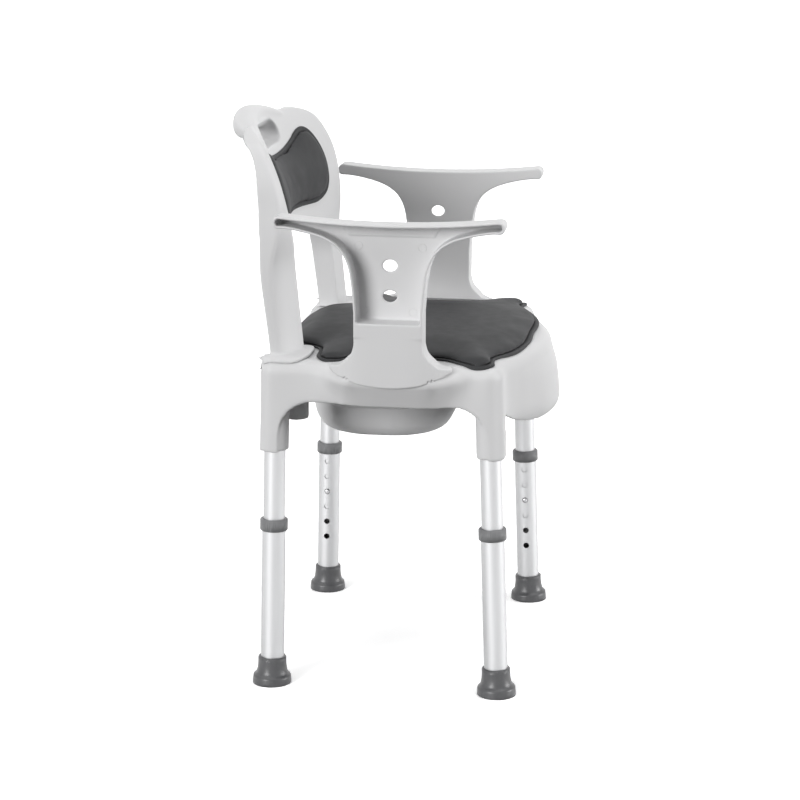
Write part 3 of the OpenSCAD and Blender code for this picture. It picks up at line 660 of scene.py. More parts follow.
@dataclass
class Chair:
    """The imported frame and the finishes, and how a piece joins them."""

    frame: dict = field(default_factory=dict)
    finishes: dict[str, bpy.types.Material] = field(default_factory=dict)
    bodies: dict[str, str] = field(default_factory=dict)

    def load(self) -> None:
        """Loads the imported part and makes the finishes."""
        self.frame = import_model()
        behaviour = self.frame["record"]["behaviour"]
        self.bodies = {n: b for b, nodes in behaviour["bodies"].items() for n in nodes}
        for finish in (
            MouldedPlastic("white_plastic", (0.71, 0.71, 0.715)),
            MouldedPlastic("collar_grey", (0.215, 0.217, 0.222), 0.4, 0.16),
            PadSkin("pad_grey", (0.036, 0.0365, 0.0382)),
            DrawnMetal("tube_aluminium", (0.43, 0.432, 0.438), 0.46),
            DrawnMetal("pin_steel", (0.42, 0.42, 0.43), 0.2, 0.03),
            DrawnMetal("screw_steel", (0.6, 0.6, 0.61), 0.3, 0.05),
            FootRubber("foot_rubber", (0.085, 0.086, 0.09)),
        ):
            self.finishes[finish.name] = finish.make()

    def dress(self, piece: Piece, finish: str, *nodes: str) -> None:
        """Gives a finished piece its material and its body, and hides the CAD nodes it stands for.

        Args:
            piece: The piece.
            finish: The name of its material slot.
            nodes: The CAD nodes that it replaces.
        """
        piece.data.materials.clear()
        piece.data.materials.append(self.finishes[finish])
        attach(piece, self.bodies[nodes[0]])
        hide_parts(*nodes)
        piece.data.calc_loop_triangles()
        LOG.info("%s: %d triangles", piece.name, len(piece.data.loop_triangles))

    def fine_copy(
        self, node: str, name: str, finish: str, angle: float = 32,
        axis: Sequence | None = None, drill: Piece | None = None,
    ) -> None:
        """A CAD node's own shape with its facets blended, standing in for the node.

        Args:
            node: The CAD node.
            name: The new piece's name.
            finish: The name of its material slot.
            angle: Edges sharper than this stay sharp, in degrees.
            axis: Two points of the axis of a round bar, whose facets are then blended about it.
            drill: What is taken away from it first.
        """
        Bench.only(self.frame["nodes"][node])
        bpy.ops.object.duplicate()
        piece = bpy.context.object
        piece.name = name
        for key in list(piece.keys()):
            del piece[key]
        piece.parent = None
        Bench.edit(piece, lambda: bpy.ops.mesh.remove_doubles(threshold=Bench.same_place))
        if drill:
            Bench.cut(piece, drill)
        Bench.only(piece)
        bpy.ops.object.shade_smooth_by_angle(angle=math.radians(angle))
        if axis:
            self.round_off(piece, *axis)
        self.dress(piece, finish, node)

    @staticmethod
    def round_off(piece: Piece, start: Loop, end: Loop) -> None:
        """Turns the normals of a round bar's skin square to its axis.

        Args:
            piece: The bar, in facets.
            start: One point of its axis, in millimetres.
            end: Another.
        """
        Bench.shade_smooth(piece)
        points = Bench.points(piece)
        along = (end - start) / np.linalg.norm(end - start)
        away = points - start
        away = away - np.outer(away @ along, along)
        away /= np.maximum(np.linalg.norm(away, axis=1, keepdims=True), 1e-6)
        normals = []
        for face in piece.data.polygons:
            flat = np.array(face.normal)
            for corner in face.vertices:
                facing = float(flat @ away[corner])
                round_skin = abs(facing) > 0.93
                normals.append(away[corner] * math.copysign(1, facing) if round_skin else flat)
        piece.data.normals_split_custom_set([tuple(map(float, n)) for n in normals])


@dataclass
class Legs:
    """Four two-part tubes with their collars, feet, snap pins and screws."""

    span_x: float = 451.5
    span_y: float = 327.7
    side_lean: float = 0.64
    rear_lean: float = 1.06
    front_lean: float = 2.1
    hole_z: float = 92.4
    hole_pitch: float = 25
    hole_count: int = 6
    hole_d: float = 9.2
    hole_reach: tuple[float, float] = (8, 22)
    press: float = 3.6
    small_pieces: Sequence = (
        ("tube_collar", "leg_collar", "collar_grey", 50),
        ("foot", "rubber_foot", "foot_rubber", 40),
        ("snap_pin", "leg_pin", "pin_steel", 40),
        ("pin_spring", "leg_spring", "screw_steel", 60),
    )

    def point(self, side: Side, end: End, height: float, inwards: float = 0) -> Loop:
        """A point of a leg.

        Args:
            side: Left or right.
            end: Rear or front.
            height: How far up the leg it is.
            inwards: How far it is from the leg's axis towards the middle of the chair.

        Returns:
            The point.
        """
        lean = self.rear_lean if end is End.REAR else -self.front_lean
        turn = Matrix.Rotation(math.radians(-side.value * self.side_lean), 3, "Y")
        turn = turn @ Matrix.Rotation(math.radians(lean), 3, "X")
        foot = np.array([side.value * self.span_x / 2, end.value * self.span_y / 2, 0.0])
        return foot + np.array(turn @ Vector((-side.value * inwards, 0, height)))

    def adjusting_holes(self, side: Side, end: End) -> Piece:
        """Rods where the adjusting holes go through a lower tube's inner side.

        Args:
            side: Left or right.
            end: Rear or front.

        Returns:
            The rods, as one piece.
        """
        rods = []
        for k in range(self.hole_count):
            z = self.hole_z + k * self.hole_pitch
            inner, outer = (self.point(side, end, z, reach) for reach in self.hole_reach)
            rods.append(Bench.rod("hole", inner, outer, self.hole_d))
        return Bench.join(rods)

    def press_spring(self, name: str) -> None:
        """Gives a spring leaf a mesh of its own.

        Args:
            name: The spring's piece.
        """
        piece = bpy.data.objects[name]
        points = Bench.points(piece) - CHAIR_MIDDLE
        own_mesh(piece)

    def build(self, chair: Chair) -> None:
        """Dresses the legs' own CAD nodes.

        Args:
            chair: The chair that they join.
        """
        for side in Side:
            for end in End:
                tag = end.name[0].lower() + side.name[0].lower()
                place = f"{end.name.lower()}_{side.name.lower()}"
                axis = (self.point(side, end, 0), self.point(side, end, 400))
                tube = "tube_aluminium"
                chair.fine_copy(f"upper_tube_{tag}", f"leg_upper_{place}", tube, axis=axis)
                holes = self.adjusting_holes(side, end)
                chair.fine_copy(
                    f"lower_tube_{tag}", f"leg_lower_{place}", tube, axis=axis, drill=holes
                )
                for node, name, finish, angle in self.small_pieces:
                    chair.fine_copy(f"{node}_{tag}", f"{name}_{place}", finish, angle)
                self.press_spring(f"leg_spring_{place}")
        chair.fine_copy("leg_screws", "socket_screws", "screw_steel")
        chair.fine_copy("rail_screws", "pan_rail_screws", "screw_steel")
        for side in Side:
            hand = side.name.lower()
            chair.fine_copy(f"pan_rail_{hand}", f"pan_runner_{hand}", "collar_grey")


@dataclass
class Seat:
    """The moulded seat with its skirt, leg sockets and commode aperture."""

    legs: Legs = field(default_factory=Legs)
    top_z: float = 480
    nose_tip_y: float = -227
    nose_z: float = 368
    nose_rise: float = 32
    armrest_x: float = 273
    edge_r: float = 20
    wall: float = 4
    arch_z: float = 422
    rear_arch_z: float = 442
    socket_d: float = 40
    socket_skin: float = 0.5
    socket_z: float = 346
    socket_top: float = 458
    socket_bore_top: float = 440
    bore_d: float = 31.6
    aperture_half_w: float = 95
    aperture_half_l: float = 96
    aperture_y: float = 24
    aperture_egg: float = 0.08
    arm_mid_y: float = -13
    post_x: float = 170
    post_y: float = 136
    post_d: float = 28
    post_z: float = 392
    tenon_x: float = 253.5
    tenon_y: float = 32
    tenon_w: float = 24
    tenon_t: float = 10
    tenon_z: float = 446
    tenon_gap: float = 0.5
    tenon_skin: float = 3.3
    post_bore: tuple[float, float] = (381, 499)
    post_wall: float = 4
    post_gap: float = 0.5
    side_arch_r: float = 52
    rear_arch_r: float = 46
    socket_slope: float = 0.01117
    voxel: float = 2.2
    kept_faces: float = 0.6
    nose_shares: Table = ((0, 1), (66, 0.84), (122, 0.47), (160, 0.2), (192, 0.03))
    side_places: Sequence = (-108, -84, -62, -38, 0, 38, 62, 84, 108)
    rear_flat_x: float = 110
    low_z: float = 326
    nose_fall: Table = (
        (-4, 31), (0, 12.4), (10, 2.5), (20, 0), (44, 1.9), (68, 5), (92, 13), (113, 18.6),
    )

    def front_y(self, z: float) -> float:
        """The front face of the front corners at a height."""
        return -self.legs.span_y / 2 + z * slope(self.legs.front_lean) - self.corner_r

    def rear_y(self, z: float) -> float:
        """The rear face at a height."""
        return self.legs.span_y / 2 - z * slope(self.legs.rear_lean) + self.corner_r

    def side_x(self, z: float) -> float:
        """The side faces' distance from the middle at a height."""
        return self.legs.span_x / 2 - z * slope(self.legs.side_lean) + self.corner_r

    @property
    def corner_r(self) -> float:
        """Radius of the corners round the leg sockets."""
        return self.socket_d / 2 + self.socket_skin

    def nose_edge_z(self, x: float) -> float:
        """Lower edge of the nose at a distance from the middle."""
        return self.nose_z + self.nose_rise * (abs(x) / 190) ** 2.5

    def swell(self, away: float, z: float) -> float:
        """How far the side swells out under the armrest.

        Args:
            away: Distance from the armrest's middle, front to rear.
            z: The height.

        Returns:
            The share of the whole swelling.
        """
        high = self.top_z - 20
        at_62 = lookup(z, [(self.arch_z, 0.72), (high, 0.97)])
        at_84 = lookup(z, [(self.arch_z, 0.1), (high, 0.5)])
        rows = [(0, 1), (38, 0.98), (62, at_62), (84, at_84), (108, 0)]
        return lookup(away, rows) * lookup(z, [(self.arch_z, 0.37), (self.top_z - 24, 1)])

    def corner(self, y: float, start: float, z: float) -> list[list[float]]:
        """A quarter circle about a leg, seen from above.

        Args:
            y: The leg's place, front to rear.
            start: The first angle, in degrees.
            z: The height.

        Returns:
            Its points.
        """
        r, x = self.corner_r, self.side_x(z)
        turn = [math.radians(a) for a in np.arange(start, start + 91, 30)]
        return [[x - r * (1 - math.sin(a)), y - r * math.cos(a)] for a in turn]

    def outline(self, z: float, steps: int = 6) -> Loop:
        """The seat's outline: nose, corner, swollen side, rear corner.

        Args:
            z: The height.
            steps: Points made for each given one.

        Returns:
            The outline.
        """
        front_y, side_x, rear_y = self.front_y(z), self.side_x(z), self.rear_y(z)
        half = []
        for x, share in self.nose_shares:
            tip_y = self.nose_tip_y + lookup(z - self.nose_edge_z(x), self.nose_fall)
            half.append([x, front_y * (1 - share) + share * tip_y])
        half += self.corner(front_y + self.corner_r, 0, z)
        for dy in self.side_places:
            out = (self.armrest_x - side_x) * self.swell(abs(dy), z)
            half.append([side_x + out, self.arm_mid_y + dy])
        half += self.corner(rear_y - self.corner_r, 90, z)
        half += [[self.rear_flat_x, rear_y], [0, rear_y]]
        return smooth_loop(both_sides(half), steps)

    def form(self, name: str, grow: float, low_z: float) -> Piece:
        """The seat's outer form, grown outwards.

        Args:
            name: The piece's name.
            grow: How far it is grown.
            low_z: Where it starts.

        Returns:
            The closed form.
        """
        wall_top = self.top_z - self.edge_r
        r = self.edge_r + grow
        levels = [low_z] + [z for z in np.linspace(350, wall_top, 24) if z > low_z + 1]
        rings = [at_height(inset_loop(self.outline(z), -grow), z) for z in levels]
        for turn in np.radians(np.arange(7.5, 91, 7.5)):
            flat = inset_loop(self.outline(wall_top), -grow + r * (1 - math.cos(turn)))
            rings.append(at_height(flat, wall_top + r * math.sin(turn)))
        return Bench.skin(name, rings)

    def tenon_slot(self, side: Side, dy: float, gap: float, low: float, high: float) -> Piece:
        """A box for one of the armrests' tenons.

        Args:
            side: Left or right.
            dy: How far it is behind the armrest's middle.
            gap: How much wider than the tenon it is all round.
            low: Where it starts.
            high: Where it ends.

        Returns:
            The box.
        """
        x = side.value * self.tenon_x
        half_x, half_y = self.tenon_t / 2 + gap, self.tenon_w / 2 + gap
        y = self.arm_mid_y + dy
        box = [[x - half_x, y - half_y], [x + half_x, y - half_y]]
        box += [[x + half_x, y + half_y], [x - half_x, y + half_y]]
        return Bench.prism("tenon_box", np.array(box), "z", low, high)

    def aperture(self, grow: float, low: float, high: float) -> Piece:
        """The commode aperture as a solid.

        Args:
            grow: How much wider it is all round.
            low: Where it starts.
            high: Where it ends.

        Returns:
            The solid.
        """
        turn = full_turn(96)
        widening = 1 + self.aperture_egg * np.sin(turn)
        x = (self.aperture_half_w + grow) * np.cos(turn) * widening
        y = self.aperture_y + (self.aperture_half_l + grow) * np.sin(turn)
        return Bench.prism("aperture", np.column_stack([x, y]), "z", low, high)

    def hollow(self, shell: Piece) -> None:
        """Takes the hollow, the arches and the space under the nose out of the seat.

        Args:
            shell: The seat.
        """
        Bench.cut(shell, self.form("hollow", -self.wall, self.socket_z - 10))
        half = (self.legs.span_y - self.socket_d) / 2 + 5
        side = arch_outline(half, self.low_z, self.arch_z, self.side_arch_r)
        Bench.cut(shell, Bench.prism("side_arch", side, "x", -400, 400))
        half = self.legs.span_x / 2 - self.socket_d / 2 - 2
        rear = arch_outline(half, self.low_z, self.rear_arch_z, self.rear_arch_r)
        Bench.cut(shell, Bench.prism("rear_arch", rear, "y", 100, 300))
        edge_x = self.legs.span_x / 2 - self.nose_z * self.socket_slope - self.socket_d / 2
        line = [[edge_x * k / 24, self.nose_edge_z(edge_x * k / 24)] for k in range(-24, 25)]
        nose = np.array([[-edge_x, self.low_z], *line, [edge_x, self.low_z]])
        Bench.cut(shell, Bench.prism("under_nose", nose, "y", -300, -100))

    def leg_rod(self, side: Side, end: End, low: float, high: float, diameter: float) -> Piece:
        """A rod along a leg's axis, from one height up the leg to another."""
        ends = [self.legs.point(side, end, z) for z in (low, high)]
        return Bench.rod("leg_rod", *ends, diameter)

    def post_rod(self, side: Side, low: float, high: float, margin: float) -> Piece:
        """A rod along a post of the backrest, wider than the post by a margin all round."""
        ends = [[side.value * self.post_x, self.post_y, z] for z in (low, high)]
        return Bench.rod("post_rod", *ends, self.post_d + 2 * margin)

    def sockets(self) -> tuple[list[Piece], list[Piece]]:
        """Makes the sockets for legs, tenons and posts.

        Returns:
            Their solids and the holes in them.
        """
        solids, holes = [], []
        tenon_low, under_top = self.tenon_z - self.wall, self.top_z - self.wall + 1
        for side in Side:
            for end in End:
                low, high = self.socket_z + 2, self.socket_top
                solids.append(self.leg_rod(side, end, low, high, self.socket_d))
                low, high = self.socket_z - 5, self.socket_bore_top
                holes.append(self.leg_rod(side, end, low, high, self.bore_d))
            for dy in (-self.tenon_y, self.tenon_y):
                solids.append(self.tenon_slot(side, dy, self.tenon_skin, tenon_low, under_top))
                high = self.top_z + 10
                holes.append(self.tenon_slot(side, dy, self.tenon_gap, self.tenon_z, high))
        for side in Side:
            solids.append(self.post_rod(side, self.post_z - 10, under_top, self.post_wall))
            holes.append(self.post_rod(side, *self.post_bore, self.post_gap))
        return solids, holes

    def build(self, chair: Chair) -> None:
        """Builds the seat shell.

        Args:
            chair: The chair that it joins.
        """
        shell = self.form("seat", 0, self.socket_z)
        self.hollow(shell)
        Bench.mould(shell, self.voxel, 0)
        solids, holes = self.sockets()
        Bench.cut(shell, Bench.join(solids), Cut.ADD)
        Bench.cut(shell, self.aperture(self.wall, self.top_z - 16, self.top_z - 1), Cut.ADD)
        holes.append(self.aperture(0, self.top_z - 40, self.top_z + 10))
        Bench.cut(shell, Bench.join(holes))
        Bench.mould(shell, self.voxel, 3)
        Bench.modify(shell, "DECIMATE", ratio=self.kept_faces)
        chair.dress(shell, "white_plastic", "seat_shell")


@dataclass
class Backrest:
    """The moulded backrest: curved face, side walls, uprights, hand slot and grip."""

    seat: Seat = field(default_factory=Seat)
    foot_y: float = 154.4
    lean: float = 5.65
    bend_h: float = 150
    bend_share: float = 0.2
    curl: float = 9
    curve_r: float = 480
    height: float = 312
    wall: float = 4
    side_slope: float = 0.55
    gap_half_w: float = 149
    gap_top_z: float = 631
    slot_half_w: float = 55
    slot_front: tuple[float, float] = (751, 785)
    slot_rear: tuple[float, float] = (757, 771)
    grip_depth: float = 36
    grip_half_w: float = 114
    grip_top_z: float = 808
    grip_low_z: float = 770
    grip_fall: float = 22
    grip_end_depth: float = 16
    grip_end_taper: float = 0.6
    collar_depth: float = 31
    collar_w: float = 8
    collar_z: tuple[float, float] = (735, 795)
    blend_x: tuple[float, float] = (66, 150)
    blend_soft: float = 24
    blend_z: float = 755
    rim_half_w: float = 72
    rim_half_h: float = 30
    rim_depth: float = 9
    plate_x: float = 190
    plate_y: float = 145
    plate_half_x: float = 46
    plate_half_y: float = 36.5
    plate_t: float = 5
    plate_lip: float = 1.75
    seat_gap: float = 0.9
    voxel: float = 1.7
    kept_faces: float = 0.55
    top_heights: Sequence = (302, 304, 306, 308, 309.5, 311, 312)
    slot_taper: Table = (
        (-20, 1.0), (8, 1.0), (12, 0.97), (16, 0.9), (22, 0.5), (28, 0.14), (32, 0), (70, 0),
    )
    front_half_w: Table = (
        (-20, 179), (120, 179), (140, 182), (160, 190), (180, 198), (200, 204), (220, 208.5),
        (240, 210), (255, 207.5), (270, 203), (285, 196), (295, 189), (301, 179), (306, 164),
        (310, 144), (312, 128),
    )
    side_half_w: Table = (
        (-20, 225), (120, 226), (180, 224), (220, 222), (240, 222), (255, 219.5), (270, 214),
        (285, 206), (295, 198), (301, 188), (306, 172), (310, 151), (312, 133),
    )
    side_rear_y: Table = (
        (-20, 161.5), (11, 162.5), (77, 171), (115, 176), (163, 177), (223, 179), (267, 183),
        (285, 190), (312, 216),
    )

    def face_y(self, x: float | Loop, z: float | Loop) -> float | Loop:
        """The front face of the backrest.

        Args:
            x: Distance from the middle.
            z: The height.

        Returns:
            Its place, front to rear.
        """
        z = np.asarray(z, float)
        h = np.maximum(0, z - self.seat.top_z - self.bend_h)
        lean = (z - self.seat.top_z) * slope(self.lean)
        curled = self.curl * (h / (self.height - self.bend_h)) ** 8
        hollow = np.asarray(x, float) ** 2 / (2 * self.curve_r)
        return self.foot_y + lean + self.bend_share * h * h / (h + 30) + curled - hollow

    def soft_lookup(self, h: float, table: Table) -> float:
        """A value from a table of heights with its corners rounded off.

        Args:
            h: The height over the seat.
            table: Rows of height and value.

        Returns:
            The value.
        """
        reach = 1.5 * min(16, max(0, self.height - h) * 0.4)
        steps = np.linspace(-1, 1, 9)
        weights = 1 - np.abs(steps) * 0.9
        values = [lookup(h + reach * s, table) for s in steps]
        return float(np.dot(weights, values) / weights.sum())

    @staticmethod
    def bend(a: Loop, b: Loop, c: Loop) -> list[Loop]:
        """A soft bend between two points.

        Args:
            a: Where it starts.
            b: What it is pulled towards.
            c: Where it ends.

        Returns:
            Its points.
        """
        return [
            (a + (b - a) * t) * (1 - t) + (b + (c - b) * t) * t for t in np.linspace(0, 1, 9)
        ]

    def section(self, z: float, opened: float) -> Loop:
        """The outline at a height: front face, sloping side, rear.

        Args:
            z: The height.
            opened: How far the rear is moved back.

        Returns:
            The outline.
        """
        h = z - self.seat.top_z
        edge = self.soft_lookup(h, self.front_half_w)
        side = self.soft_lookup(h, self.side_half_w)
        near = np.array([edge - 7, float(self.face_y(edge - 7, z))])
        front = np.array([edge, float(self.face_y(edge, z))])
        outer = np.array([side, front[1] + (side - edge) * self.side_slope])
        reach = min(0.5, 7 / np.linalg.norm(outer - front))
        rear = max(self.soft_lookup(h, self.side_rear_y), outer[1] + 6) + opened
        half = [
            [near[0] * k / 24, float(self.face_y(near[0] * k / 24, z))] for k in range(24)
        ]
        half += self.bend(near, front, front + (outer - front) * reach)
        half += self.bend(outer + (front - outer) * reach * 0.8, outer, outer + [0, 5])
        for k in range(17):
            x = side * (1 - k / 16)
            half.append([x, max(rear, float(self.face_y(x, z)) + 2 * self.wall)])
        return both_sides(half)

    def form(self, name: str, inset: float, opened: float) -> Piece:
        """The backrest's body, moved inwards.

        Args:
            name: The piece's name.
            inset: How far it is moved inwards.
            opened: How far its rear is moved back.

        Returns:
            The closed form.
        """
        heights = [*np.arange(-20, 280, 5.0), *np.linspace(280, 300, 8), *self.top_heights]
        rings = []
        for h in heights:
            z = self.seat.top_z + h
            sunk = inset * max(0, h - 220) / (self.height - 220)
            rings.append(at_height(inset_loop(self.section(z, opened), inset), z - sunk))
        return Bench.skin(name, rings)

    def gap(self, margin: float) -> Piece:
        """The gap between the uprights as a solid.

        Args:
            margin: How much wider it is all round.

        Returns:
            The solid.
        """
        outline = arch_outline(
            self.gap_half_w + margin, 400, self.gap_top_z + margin, 70 + margin
        )
        return Bench.prism("upright_gap", outline, "y", 0, 400)

    def grip(self) -> Piece:
        """The grip bar along the backrest's curve.

        Returns:
            The bar.
        """
        rings = []
        for s in np.sin(np.linspace(-1, 1, 49) * math.pi / 2):
            x = self.grip_half_w * s
            end = 1 - self.grip_end_taper * abs(s) ** 12
            top = self.grip_top_z - self.grip_fall * s * s
            mid_z = (self.grip_low_z + top) / 2
            half_h = (top - self.grip_low_z) / 2 * end
            far = self.grip_depth - (self.grip_depth - self.grip_end_depth) * s**4
            turn = full_turn(48)
            across, along = squared(np.cos(turn), 0.75), squared(np.sin(turn), 0.75)
            y = float(self.face_y(x, mid_z)) + far / 2 + far / 2 * end * across
            rings.append(np.column_stack([np.full(48, x), y, mid_z + half_h * along]))
        return Bench.skin("grip", rings)

    def slot(self, margin: float) -> Piece:
        """The hand slot's opening, from the rear to the front face.

        Args:
            margin: How much wider it is all round.

        Returns:
            The opening as a solid.
        """
        y0 = float(self.face_y(0, self.slot_front[0]))
        rings = []
        for depth, share in self.slot_taper:
            low = self.slot_rear[0] + share * (self.slot_front[0] - self.slot_rear[0]) - margin
            high = self.slot_rear[1] + share * (self.slot_front[1] - self.slot_rear[1]) + margin
            r, mid = (high - low) / 2, (high + low) / 2
            length = self.slot_half_w + margin - r
            turn = np.radians(np.arange(-90, 91, 10))
            right = np.column_stack([length + r * np.cos(turn), mid + r * np.sin(turn)])
            loop = np.vstack([right, (right * [-1, 1])[::-1]])
            rings.append(np.insert(loop, 1, y0 + depth, axis=1))
        return Bench.skin("hand_slot", rings)

    def collar(self) -> Piece:
        """The wall round the hand slot behind the face.

        Returns:
            The wall.
        """
        half = self.slot_half_w + self.collar_w
        rings = []
        for z in np.linspace(*self.collar_z, 13):
            x = np.linspace(-half, half, 25)
            near = np.column_stack([x, self.face_y(x, z) + 2])
            far = np.column_stack([x, self.face_y(x, z) + self.collar_depth])
            rings.append(at_height(np.vstack([near, far[::-1]]), z))
        layer = Bench.skin("slot_collar", rings)
        Bench.cut(layer, self.slot(self.wall), Cut.KEEP)
        return layer

    def foot_plate(self, side: Side) -> Piece:
        """The plate at an upright's foot, which follows the seat's rounded edge.

        Args:
            side: Left or right.

        Returns:
            The plate.
        """
        turn = full_turn(72)
        across, along = squared(np.cos(turn), 0.6), squared(np.sin(turn), 0.6)
        loop = np.column_stack([self.plate_half_x * across, self.plate_half_y * along])
        loop = loop + [side.value * self.plate_x, self.plate_y]
        plate = Bench.prism("foot_plate", loop, "z", self.seat.top_z - 19, self.seat.top_z + 21)
        over = self.seat.form("over", self.plate_lip, 440)
        lifted = Bench.points(over) + [0, 0, self.plate_t - self.plate_lip]
        Bench.set_points(over, lifted)
        Bench.cut(plate, over, Cut.KEEP)
        return plate

    def behind_face(self, points: Loop) -> Loop:
        """How far points lie behind the front face."""
        return points[:, 1] - self.face_y(points[:, 0], points[:, 2])

    def near_grip(self, points: Loop) -> Loop:
        """Extra smoothing where the grip runs into the head.

        Args:
            points: The backrest's points.

        Returns:
            The share of each.
        """
        x, z, rear = np.abs(points[:, 0]), points[:, 2], self.behind_face(points)
        (low, high), soft = self.blend_x, self.blend_soft
        across = np.clip((x - low) / soft, 0, 1) * np.clip((high - x) / soft, 0, 1)
        above = np.clip((z - self.blend_z) / 12, 0, 1)
        return across * above * np.clip((rear + 1) / 6, 0.15, 1)

    def near_slot(self, points: Loop) -> Loop:
        """Extra smoothing round the hand slot's front rim.

        Args:
            points: The backrest's points.

        Returns:
            The share of each.
        """
        x, z, rear = np.abs(points[:, 0]), points[:, 2], self.behind_face(points)
        away = np.abs(z - sum(self.slot_front) / 2)
        across = np.clip((self.rim_half_w - x) / 8, 0, 1)
        upright = np.clip((self.rim_half_h - away) / 6, 0, 1)
        return across * upright * np.clip((self.rim_depth - rear) / 4, 0, 1)

    def build(self, chair: Chair) -> None:
        """Builds the backrest.

        Args:
            chair: The chair that it joins.
        """
        back = self.form("back_shell", 0, 0)
        inner = self.form("inner", self.wall, 120)
        Bench.cut(inner, self.gap(self.wall))
        Bench.cut(back, inner)
        Bench.cut(back, self.collar(), Cut.ADD)
        Bench.cut(back, self.grip(), Cut.ADD)
        for side in Side:
            Bench.cut(back, self.foot_plate(side), Cut.ADD)
        Bench.cut(back, self.gap(0))
        Bench.cut(back, self.slot(0))
        Bench.cut(back, self.seat.form("seat_gap", self.seat_gap, 440))
        for side in Side:
            high = self.seat.top_z + self.plate_t
            Bench.cut(back, self.seat.post_rod(side, self.seat.post_z, high, 0), Cut.ADD)
        Bench.mould(back, self.voxel, 2)
        Bench.soften_near(back, self.near_grip, 7)
        Bench.soften_near(back, self.near_slot, 10)
        Bench.modify(back, "DECIMATE", ratio=self.kept_faces)
        chair.dress(back, "white_plastic", "backrest")


